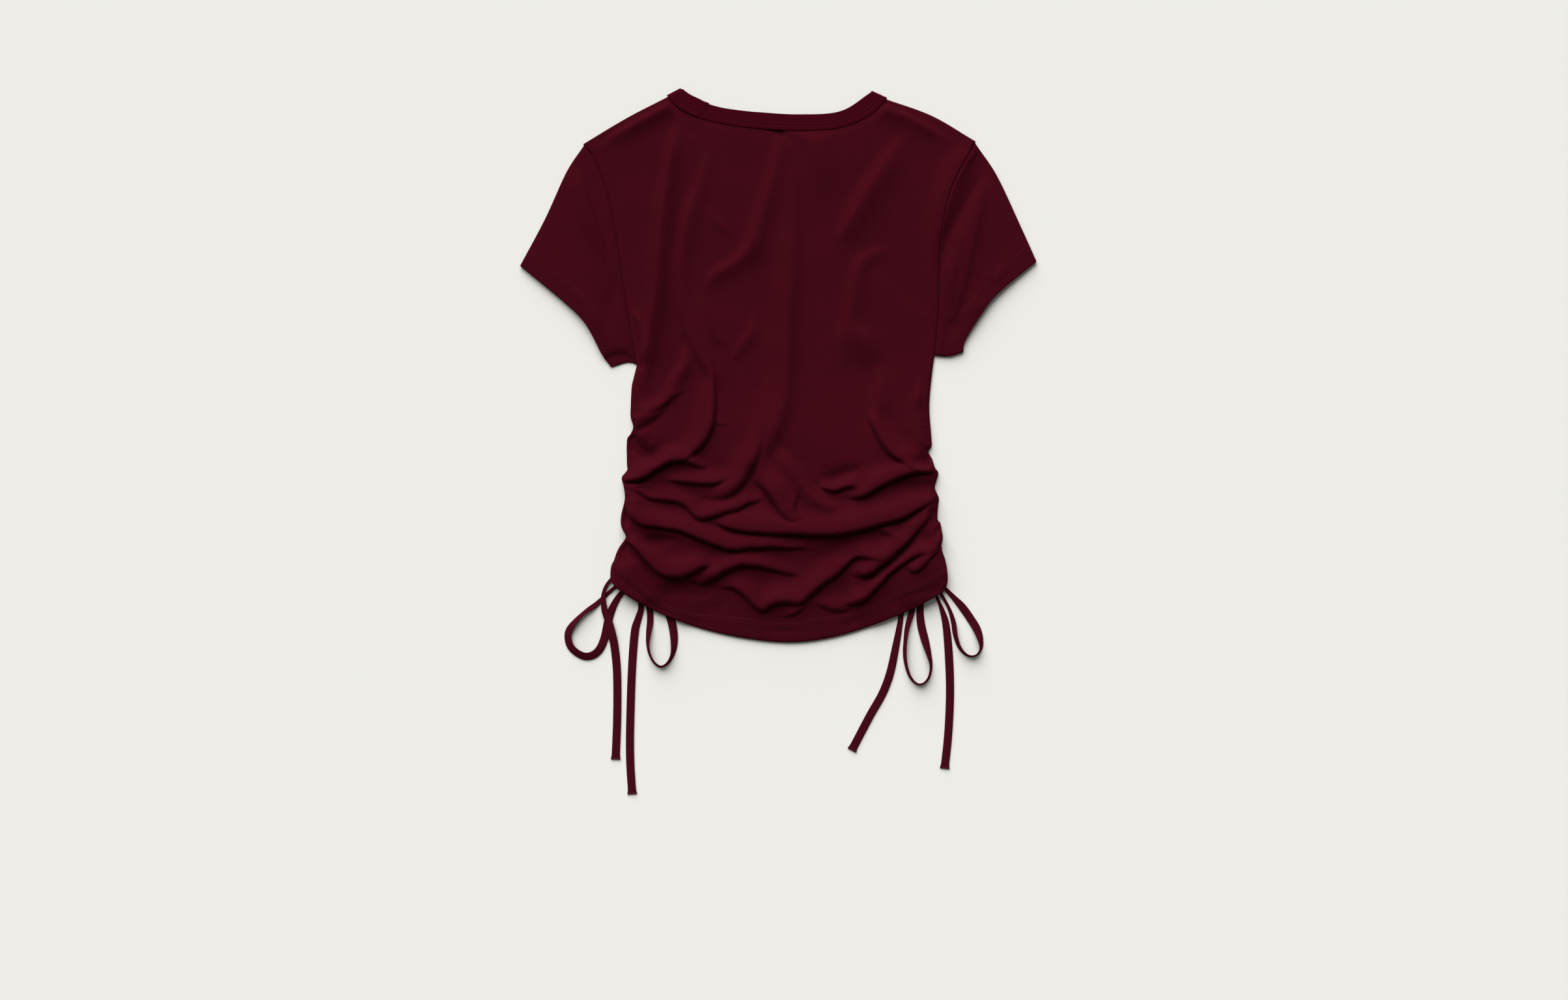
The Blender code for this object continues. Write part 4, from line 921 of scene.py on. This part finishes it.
def sleeve_loop(sleeve, seam, row, along, wall):
    """One closed section of a flat sleeve: its outside, or, with a wall, its inside."""
    width = lengths_along(row)[-1]
    turn = np.linspace(0.0, math.pi / 2, SLEEVE_EDGE_SPANS + 1)[1:]
    edge = BACK_TOP * 0.5 * (1 - np.cos(turn)) / width
    flat = np.linspace(0.0, 1.0, SLEEVE_SPANS + 1)
    flat = flat[(flat > edge[-1] * EDGE_SPACE) & (flat < 1 - edge[-1] * EDGE_SPACE)]
    across = np.concatenate([edge, flat, 1.0 - edge[::-1]])
    points = at_fractions(row, across)
    x, y = points.T
    distance, side, *_ = nearest_on(seam, x, y)
    from_seam = -distance * side * sleeve.outward
    free = smoothstep(*TUCK_BLEND, from_seam)
    past = smoothstep(SEAM_ALLOWANCE - ALLOWANCE_EDGE, SEAM_ALLOWANCE, from_seam)
    ridge = SEAM_RIDGE * free * (1.0 - past)
    middle = 0.5 * (sleeve_surface(sleeve, along, x, y, across) + ridge)
    skin = middle - SLEEVE_DIP * (1.0 - free) - wall * rising(TUCKED_WALL, free)
    skin = skin * rolled(np.minimum(across, 1.0 - across) * width, BACK_TOP * 0.5)
    upper = np.column_stack([points, middle + skin])
    lower = np.column_stack([points, middle - skin])[::-1]
    tips = at_fractions(row, [wall / width, 1.0 - wall / width])
    tips = np.column_stack([tips, middle[[0, -1]]])
    return np.vstack([tips[:1], upper, tips[1:], lower])


def even_loop(loop, count):
    """The same section with exactly count points, spread as before."""
    if len(loop) == count:
        return loop
    closed = np.vstack([loop, loop[:1]])
    wanted = np.linspace(0.0, len(loop), count, endpoint=False)
    whole = np.arange(len(loop) + 1)
    return np.column_stack([np.interp(wanted, whole, column) for column in closed.T])


def sleeve_plan(sleeve):
    """Plan grid of a sleeve, its armhole edge and its corners tucked under the panels."""
    tuck = np.array([-sleeve.outward * SLEEVE_TUCK, 0.0])
    armhole, underarm, fold_edge = (np.array(line, float) for line in
                                    (sleeve.armhole, sleeve.underarm, sleeve.fold_edge))
    armhole += tuck
    underarm[0] += tuck
    fold_edge[0] += tuck
    return sheet_grid(even_points(armhole, SLEEVE_SPANS), even_points(sleeve.hem, SLEEVE_SPANS),
                      even_points(underarm, SLEEVE_STATIONS - 1),
                      even_points(fold_edge, SLEEVE_STATIONS - 1))


def make_sleeve(side, material):
    """A flattened tube, open at the armhole and at the cuff, with a turned hem."""
    sleeve = SLEEVES[side]
    seam = smooth_curve(sleeve.armhole, SEAM_STEPS)
    rows = list(zip(sleeve_plan(sleeve), np.linspace(0.0, 1.0, SLEEVE_STATIONS)))
    outside = [sleeve_loop(sleeve, seam, row, along, 0.0) for row, along in rows]
    inside = [sleeve_loop(sleeve, seam, row, along, JERSEY) for row, along in rows]
    count = min(len(loop) for loop in outside)
    points = np.vstack([even_loop(loop, count) for loop in outside + inside])
    half = SLEEVE_STATIONS * count
    skin = tube_faces(SLEEVE_STATIONS, count)
    lining = [tuple(half + corner for corner in face[::-1]) for face in skin]
    faces = skin + lining + ring_faces(half, 0, count)
    faces += ring_faces(half - count, 2 * half - count, count)
    if sleeve.outward > 0:
        faces = [face[::-1] for face in faces]
    piece = new_piece(f"jersey_sleeve_{side}", points, faces, material)
    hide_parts(f"sleeve_{side}")
    return piece


# ---------------------------------------------------------------- neckband

def band_edges(seam, free_edge, level):
    """Pairs of points along a neckline: on the band's lapped edge and on its free one."""
    inner = even_points(seam, NECK_SPANS)
    outer = even_points(free_edge, NECK_SPANS)
    across = outer - inner
    inner = inner - across * (BAND_LAP / np.linalg.norm(across, axis=1))[:, None]
    height = np.full((len(inner), 1), level)
    return list(zip(np.hstack([inner, height]), np.hstack([outer, height])))


def back_rung(inner, outer):
    """A rung of the band's back half, which stands out where its upper end laps."""
    place = inner[0] * (1.0 - BAND_JOIN_SLANT) + outer[0] * BAND_JOIN_SLANT
    over = 1.0 - smoothstep(BAND_JOIN - BAND_JOIN_EDGE, BAND_JOIN, place)
    along = (outer - inner) / np.linalg.norm(outer - inner)
    rise = UP * BAND_JOIN_RISE * over
    return inner + rise, outer + rise + along * BAND_JOIN_REACH * over, UP


def shoulder_rungs(inner, outer, side, radius):
    """The rungs that carry the band round a shoulder, from the back to the front."""
    across = (outer - inner) / np.linalg.norm(outer - inner)
    away = side * np.array([across[1], -across[0], 0.0])
    rungs = []
    for step in range(1, FOLD_OVER_SPANS):
        angle = math.pi * step / FOLD_OVER_SPANS
        shift = away * radius * math.sin(angle) - UP * radius * (1 - math.cos(angle))
        rungs.append((inner + shift, outer + shift,
                      UP * math.cos(angle) + away * math.sin(angle)))
    return rungs


def band_rungs():
    """Rungs round the whole neck: the band's two edges and the way that its face looks."""
    low = BAND_THICK / 2 + BAND_REST
    high = BACK_TOP + BAND_STEP - BAND_THICK / 2
    back = band_edges(BACK_NECK, BAND_TOP, high)
    front = band_edges(FRONT_NECK, FRONT_BAND_TOP, low)
    radius = (high - low) / 2
    rungs = [back_rung(inner, outer) for inner, outer in back]
    rungs += shoulder_rungs(*back[-1], 1.0, radius)
    rungs += [(inner, outer, -UP) for inner, outer in front[::-1]]
    return rungs + shoulder_rungs(*back[0], -1.0, radius)[::-1]


def band_section():
    """Section of the folded strip: across (-1 at the seam, 1 at the free edge) and out."""
    across = np.array(LEAF_POINTS)
    out = np.where(across > LEAF_POINTS[0], 1.0, LEAF_EDGE)
    leaf = np.column_stack([across, out - GROOVE_DEPTH * bell(across - GROOVE_AT, GROOVE_WIDTH)])
    turn = np.radians(FOLD_ANGLES)
    fold = np.column_stack([FOLD_START + (1.0 - FOLD_START) * np.cos(turn), np.sin(turn)])
    slit = [(-1.0, -LEAF_GAP), (FOLD_START, -LEAF_GAP), (FOLD_START, LEAF_GAP), (-1.0, LEAF_GAP)]
    return np.vstack([leaf, fold, (leaf * (1.0, -1.0))[::-1], slit])


def make_neckband(material):
    """A folded strip round the whole neck, turned under at both shoulders."""
    rungs = band_rungs()
    section = band_section()
    points = []
    for inner, outer, out in rungs:
        middle = (inner + outer) / 2
        reach = (outer - inner) / 2
        points += [middle + reach * wide + out * thick * BAND_THICK / 2
                   for wide, thick in section]
    faces = [face[::-1] for face in tube_faces(len(rungs), len(section), closed=True)]
    piece = new_piece("neckband_strip", points, faces, material)
    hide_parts("neckband")
    return piece


# ---------------------------------------------------------------- drawstrings

def tie_places(route):
    """Centres, sideways and upward directions and widths along a drawstring."""
    curve = smooth_curve([TiePoint(*point) for point in route], TIE_STEPS)
    spans = max(LEAST_TIE_SPANS, round(lengths_along(curve)[-1] / TIE_RING_STEP))
    places = at_fractions(curve, np.linspace(0.0, 1.0, spans + 1))
    ahead = np.gradient(places[:, :2], axis=0)
    ahead = ahead / np.linalg.norm(ahead, axis=1)[:, None]
    width = places[:, 2]
    roll = np.radians(places[:, 3])
    lift = TIE_THICK / 2 * np.cos(roll) + width / 2 * np.sin(roll)
    centre = np.column_stack([places[:, :2], TIE_REST + lift + places[:, 4]])
    flat = np.column_stack([-ahead[:, 1], ahead[:, 0], np.zeros(len(ahead))])
    across = flat * np.cos(roll)[:, None] + UP * np.sin(roll)[:, None]
    face = UP * np.cos(roll)[:, None] - flat * np.sin(roll)[:, None]
    return centre, across, face, width


def pressed(values):
    """Cosines or sines of a round section, drawn out towards its corners."""
    return np.sign(values) * np.abs(values) ** TIE_PRESSED


def make_tie(name, route, material):
    """A turned and pressed strip, with rounded edges, along its route."""
    centre, across, face, width = tie_places(route)
    count = len(centre)
    if name.startswith("tail"):
        width = width + TAIL_FLARE * smoothstep(count - 1 - FLARE_RINGS, count - 1,
                                                np.arange(count))
    angles = np.linspace(0.0, 2 * math.pi, TIE_RING, endpoint=False)
    wide = width[:, None] / 2 * pressed(np.cos(angles))
    thick = TIE_THICK / 2 * pressed(np.sin(angles))
    rings = (centre[:, None] + across[:, None] * wide[..., None]
             + face[:, None] * thick[None, :, None])
    last = (count - 1) * TIE_RING
    faces = tube_faces(count, TIE_RING)
    faces += [tuple(range(TIE_RING))[::-1], tuple(range(last, last + TIE_RING))]
    piece = new_piece(f"strip_{name}", rings.reshape(-1, 3), faces, material)
    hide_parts(name)
    return piece, centre


def make_end_bar(name, centre, material):
    """The stitched square end of a tail."""
    ahead = centre[-1] - centre[-2]
    turn = math.atan2(ahead[1], ahead[0])
    bar = start_primitive(bpy.ops.mesh.primitive_cube_add, f"end_{name}", size=1.0)
    bpy.ops.object.mode_set(mode="EDIT")
    bpy.ops.mesh.select_all(action="SELECT")
    bpy.ops.transform.resize(value=[size * MM for size in END_BAR])
    bpy.ops.mesh.bevel(offset=END_BEVEL * MM, segments=END_BEVEL_SPANS, affect="EDGES")
    bpy.ops.object.mode_set(mode="OBJECT")
    place = Matrix.Translation(Vector(centre[-1] * MM)) @ Matrix.Rotation(turn, 4, "Z")
    bar.data.transform(place)
    return finish_piece(bar, material)


def make_knot(side, centre, material):
    """The bow's knot: the strip wound once round the two loops, pressed flat."""
    around, section = KNOT_RING_SPANS
    knot = start_primitive(
        bpy.ops.mesh.primitive_torus_add, f"knot_wound_{side}", major_segments=around,
        minor_segments=section, major_radius=KNOT_RING * MM, minor_radius=KNOT_STRIP * MM)
    bpy.ops.object.mode_set(mode="EDIT")
    bpy.ops.mesh.select_all(action="SELECT")
    bpy.ops.transform.resize(value=KNOT_PRESSED)
    bpy.ops.mesh.select_all(action="DESELECT")
    around, rings = KNOT_CORE_SPANS
    bpy.ops.mesh.primitive_uv_sphere_add(segments=around, ring_count=rings,
                                         radius=KNOT_CORE * MM)
    bpy.ops.transform.resize(value=CORE_PRESSED)
    bpy.ops.object.mode_set(mode="OBJECT")
    middle = Vector((*centre, TIE_REST + KNOT_HEIGHT / 2)) * MM
    knot.data.transform(Matrix.Translation(middle))
    finish_piece(knot, material)
    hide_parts(f"knot_{side}")


def make_drawstrings(strip, sewn_end):
    """The loops and tails of both bows, the leads into the hem, and the knots."""
    strips = {name: make_tie(name, route, strip) for name, route in TIES.items()}
    for name, route in LEADS.items():
        make_tie(name, route, strip)
    for side, centre in KNOTS.items():
        make_knot(side, centre, strip)
    for name, (piece, centre) in strips.items():
        bars = [make_end_bar(name, centre, sewn_end)] if name.startswith("tail") else []


# ---------------------------------------------------------------- stitches

def stitch_model():
    """One stitch, a short thread: its points and faces, 1 long and 1 thick."""
    stitch = start_primitive(bpy.ops.mesh.primitive_cylinder_add, "stitch", radius=0.5,
                             vertices=STITCH_SIDES, depth=1.0, rotation=(0, math.pi / 2, 0))
    bpy.ops.object.transform_apply(rotation=True)
    bpy.ops.object.mode_set(mode="EDIT")
    bpy.ops.mesh.select_all(action="SELECT")
    bpy.ops.mesh.subdivide(number_cuts=1)
    bpy.ops.object.mode_set(mode="OBJECT")
    points = np.array([vertex.co for vertex in stitch.data.vertices])
    faces = [tuple(polygon.vertices) for polygon in stitch.data.polygons]
    bpy.data.objects.remove(stitch)
    return points, faces


def beside(line, gap):
    """The curve at a gap to the left of a line."""
    curve = smooth_curve(line, EDGE_STEPS)
    ahead = np.gradient(curve, axis=0)
    left = np.column_stack([-ahead[:, 1], ahead[:, 0]])
    return curve + left * (gap / np.linalg.norm(left, axis=1))[:, None]


def stitch_places(line):
    """Where the stitches of a line are, in plan, and their directions."""
    curve = smooth_curve(line, STITCH_STEPS)
    count = int(lengths_along(curve)[-1] / STITCH_PITCH)
    places = at_fractions(curve, (np.arange(count) + 0.5) / count)
    return zip(places, np.gradient(places, axis=0))


def stitch_rows(name, cloth, lines, model, material):
    """Stitches along several lines, laid on the cloth that is under them."""
    tree = BVHTree.FromObject(cloth, bpy.context.evaluated_depsgraph_get())
    shape, shape_faces = model
    points = []
    faces = []
    for (x, y), (dx, dy) in (place for line in lines for place in stitch_places(line)):
        hit, normal, *_ = tree.ray_cast(Vector((x, y, DROP_HEIGHT)) * MM, Vector(-UP))
        if hit is None:
            continue
        forward = Vector((dx, dy, 0.0)).normalized()
        forward = (forward - normal * forward.dot(normal)).normalized()
        basis = np.array([forward * STITCH_LENGTH, normal.cross(forward) * STITCH_THICK,
                          normal * STITCH_THICK])
        start = len(points) * len(shape)
        points.append(shape @ basis + np.array(hit / MM + normal * STITCH_RISE))
        faces += [tuple(start + corner for corner in face) for face in shape_faces]
    new_piece(name, np.vstack(points), faces, material)


def make_stitches(back, sleeves, neckband, thread):
    """Two rows each along the hem, the cuffs and the neckband."""
    model = stitch_model()
    hem_rows = [HEM_STITCH, beside(HEM_STITCH, -ROW_GAP)]
    stitch_rows("stitches_hem", back, hem_rows, model, thread)
    for side, cloth in sleeves.items():
        line = SLEEVES[side].stitch
        cuff_rows = [line, beside(line, -SLEEVES[side].outward * ROW_GAP)]
        stitch_rows(f"stitches_cuff_{side}", cloth, cuff_rows, model, thread)
    seam = even_points(BACK_NECK, BIND_SPANS)
    free_edge = even_points(BAND_TOP, BIND_SPANS)
    bind_rows = [free_edge + (seam - free_edge) * share for share in BIND_ROWS]
    stitch_rows("stitches_neckband", neckband, bind_rows, model, thread)


# ---------------------------------------------------------------- materials

def set_inputs(node, values):
    """Set a node's sockets by name."""
    for name, value in values.items():
        node.inputs[name].default_value = value
    return node


def math_node(tree, operation, first, second=None):
    """The result of a sum; each term is a number or another node's output."""
    node = tree.nodes.new("ShaderNodeMath")
    node.operation = operation
    for socket, value in zip(node.inputs, (first, second)):
        if isinstance(value, (int, float)):
            socket.default_value = value
        elif value is not None:
            tree.links.new(value, socket)
    return node.outputs["Value"]


def noise_node(tree, place, values):
    """A noise pattern that is fixed to the piece."""
    node = set_inputs(tree.nodes.new("ShaderNodeTexNoise"), values)
    tree.links.new(place, node.inputs["Vector"])
    return node.outputs["Fac"]


def knit_height(tree, place, loop_size, nap):
    """Rows of stitches under a soft nap."""
    split = tree.nodes.new("ShaderNodeSeparateXYZ")
    tree.links.new(place, split.inputs["Vector"])
    turns = math_node(tree, "DIVIDE", 2 * math.pi, loop_size)
    wale = math_node(tree, "SINE", math_node(tree, "MULTIPLY", split.outputs["X"], turns))
    course_turns = math_node(tree, "MULTIPLY", turns, COURSE_PITCH)
    course = math_node(tree, "SINE", math_node(tree, "MULTIPLY", split.outputs["Y"], course_turns))
    depth, change = WALE_DEPTH
    depth = math_node(tree, "ADD", math_node(tree, "MULTIPLY", course, change), depth)
    knit = math_node(tree, "MULTIPLY", wale, depth)
    return math_node(tree, "ADD", math_node(tree, "MULTIPLY", knit, KNIT_HEIGHT), nap)


def knit_colour(tree, colour, mottle, nap, broad):
    """The colour, made a little lighter and darker by the nap and by a broad mottle."""
    change = math_node(tree, "MULTIPLY", math_node(tree, "SUBTRACT", broad, 0.5), mottle)
    fine = math_node(tree, "MULTIPLY", math_node(tree, "SUBTRACT", nap, 0.5), NAP_MOTTLE)
    level = math_node(tree, "ADD", math_node(tree, "ADD", change, fine), 1.0)
    tint = tree.nodes.new("ShaderNodeVectorMath")
    tint.operation = "SCALE"
    tree.links.new(colour, tint.inputs[0])
    tree.links.new(level, tint.inputs["Scale"])
    return tint.outputs["Vector"]


def knit_group():
    """Fine jersey: rows of stitches, a little unevenness and a faint mottle."""
    tree = bpy.data.node_groups.new("fine_knit", "ShaderNodeTree")
    for name, kind, direction, value in (
            ("Loop size", "NodeSocketFloat", "INPUT", JERSEY_LOOP),
            ("Colour", "NodeSocketColor", "INPUT", (*BURGUNDY, 1.0)),
            ("Mottle", "NodeSocketFloat", "INPUT", MOTTLE),
            ("Colour", "NodeSocketColor", "OUTPUT", None),
            ("Height", "NodeSocketFloat", "OUTPUT", None),
            ("Roughness", "NodeSocketFloat", "OUTPUT", None)):
        socket = tree.interface.new_socket(name=name, in_out=direction, socket_type=kind)
        if value is not None:
            socket.default_value = value
    given = tree.nodes.new("NodeGroupInput").outputs
    place = tree.nodes.new("ShaderNodeTexCoord").outputs["Object"]
    nap = noise_node(tree, place, NAP)
    broad = noise_node(tree, place, BROAD)
    least, nap_share = KNIT_ROUGHNESS
    results = {
        "Colour": knit_colour(tree, given["Colour"], given["Mottle"], nap, broad),
        "Height": knit_height(tree, place, given["Loop size"], nap),
        "Roughness": math_node(tree, "ADD", math_node(tree, "MULTIPLY", nap, nap_share), least),
    }
    out = tree.nodes.new("NodeGroupOutput")
    for name, result in results.items():
        tree.links.new(result, out.inputs[name])
    return tree


def new_material(name):
    """A material, its nodes, its links and its shader, which has no mirror gloss."""
    material = bpy.data.materials.new(name)
    material.use_nodes = True
    tree = material.node_tree
    shader = set_inputs(tree.nodes["Principled BSDF"], {"Specular IOR Level": 0.0})
    return material, tree.nodes, tree.links, shader


def cloth_material(name, knit, colour, loop_size, sheen):
    """Matte jersey with a soft nap."""
    material, nodes, links, shader = new_material(name)
    set_inputs(shader, {"Sheen Weight": sheen, "Sheen Roughness": SHEEN_ROUGHNESS,
                        "Sheen Tint": (*NAP_TINT, 1.0)})
    weave = nodes.new("ShaderNodeGroup")
    weave.node_tree = knit
    set_inputs(weave, {"Loop size": loop_size, "Colour": (*colour, 1.0)})
    bump = set_inputs(nodes.new("ShaderNodeBump"), KNIT_BUMP)
    links.new(weave.outputs["Colour"], shader.inputs["Base Color"])
    links.new(weave.outputs["Roughness"], shader.inputs["Roughness"])
    links.new(weave.outputs["Height"], bump.inputs["Height"])
    links.new(bump.outputs["Normal"], shader.inputs["Normal"])
    return material


def plain_material(name, colour, roughness):
    """One matte colour, for thread, the tails' sewn ends and the floor."""
    material, _, _, shader = new_material(name)
    set_inputs(shader, {"Base Color": (*colour, 1.0), "Roughness": roughness})
    return material


# ---------------------------------------------------------------- stage

def make_camera():
    """Straight above the shirt."""
    data = bpy.data.cameras.new("above")
    data.sensor_width = SENSOR
    data.lens = SENSOR * CAMERA_HEIGHT / VIEW_WIDTH
    data.clip_end = CLIP_END
    camera = bpy.data.objects.new("above", data)
    camera.location = Vector((*VIEW_CENTRE, CAMERA_HEIGHT)) * MM
    bpy.context.scene.collection.objects.link(camera)
    bpy.context.scene.camera = camera


def make_floor():
    """A plain pale floor, just below the shirt."""
    floor = start_primitive(bpy.ops.mesh.primitive_plane_add, "floor", size=FLOOR_SIZE,
                            location=(0.0, 0.0, -FLOOR_GAP * MM))
    floor.data.materials.append(plain_material("floor", FLOOR, FLOOR_ROUGHNESS))


def make_light():
    """One wide soft light from beyond the neck, and an even sky."""
    data = bpy.data.lights.new("softbox", "SUN")
    data.energy = SUN_STRENGTH
    data.angle = math.radians(SUN_WIDTH)
    lamp = bpy.data.objects.new("softbox", data)
    lamp.rotation_euler = (math.radians(SUN_ELEVATION - 90.0), 0.0, math.radians(-SUN_AZIMUTH))
    bpy.context.scene.collection.objects.link(lamp)
    world = bpy.data.worlds.new("sky")
    world.use_nodes = True
    set_inputs(world.node_tree.nodes["Background"],
               {"Color": (*SKY, 1.0), "Strength": SKY_STRENGTH})
    bpy.context.scene.world = world
    bpy.context.scene.view_settings.view_transform = "Standard"


# ---------------------------------------------------------------- assembly

def main():
    """The camera and the cords first, then the cloth, its stitches and the stage."""
    make_camera()
    knit = knit_group()
    jersey = cloth_material("jersey", knit, BURGUNDY, JERSEY_LOOP, JERSEY_SHEEN)
    # The front's jersey, darkened as painted shade for the layer that lies under the back.
    under = cloth_material("jersey_under", knit, BURGUNDY_PAINTED_SHADE, JERSEY_LOOP, JERSEY_SHEEN)
    band = cloth_material("neckband_jersey", knit, BAND_BURGUNDY, FINE_LOOP, JERSEY_SHEEN)
    strip = cloth_material("tie_jersey", knit, TIE_BURGUNDY, FINE_LOOP, TIE_SHEEN)
    # Thread made lighter than the jersey as a painted highlight on the stitches.
    thread = plain_material("thread", THREAD_PAINTED_HIGHLIGHT, THREAD_ROUGHNESS)
    make_drawstrings(strip, plain_material("stitched_end", SEWN_END, SEWN_ROUGHNESS))
    back = make_back_panel(jersey)
    make_front_panel(under)
    sleeves = {side: make_sleeve(side, jersey) for side in SLEEVES}
    neckband = make_neckband(band)
    make_stitches(back, sleeves, neckband, thread)
    make_floor()
    make_light()


main()
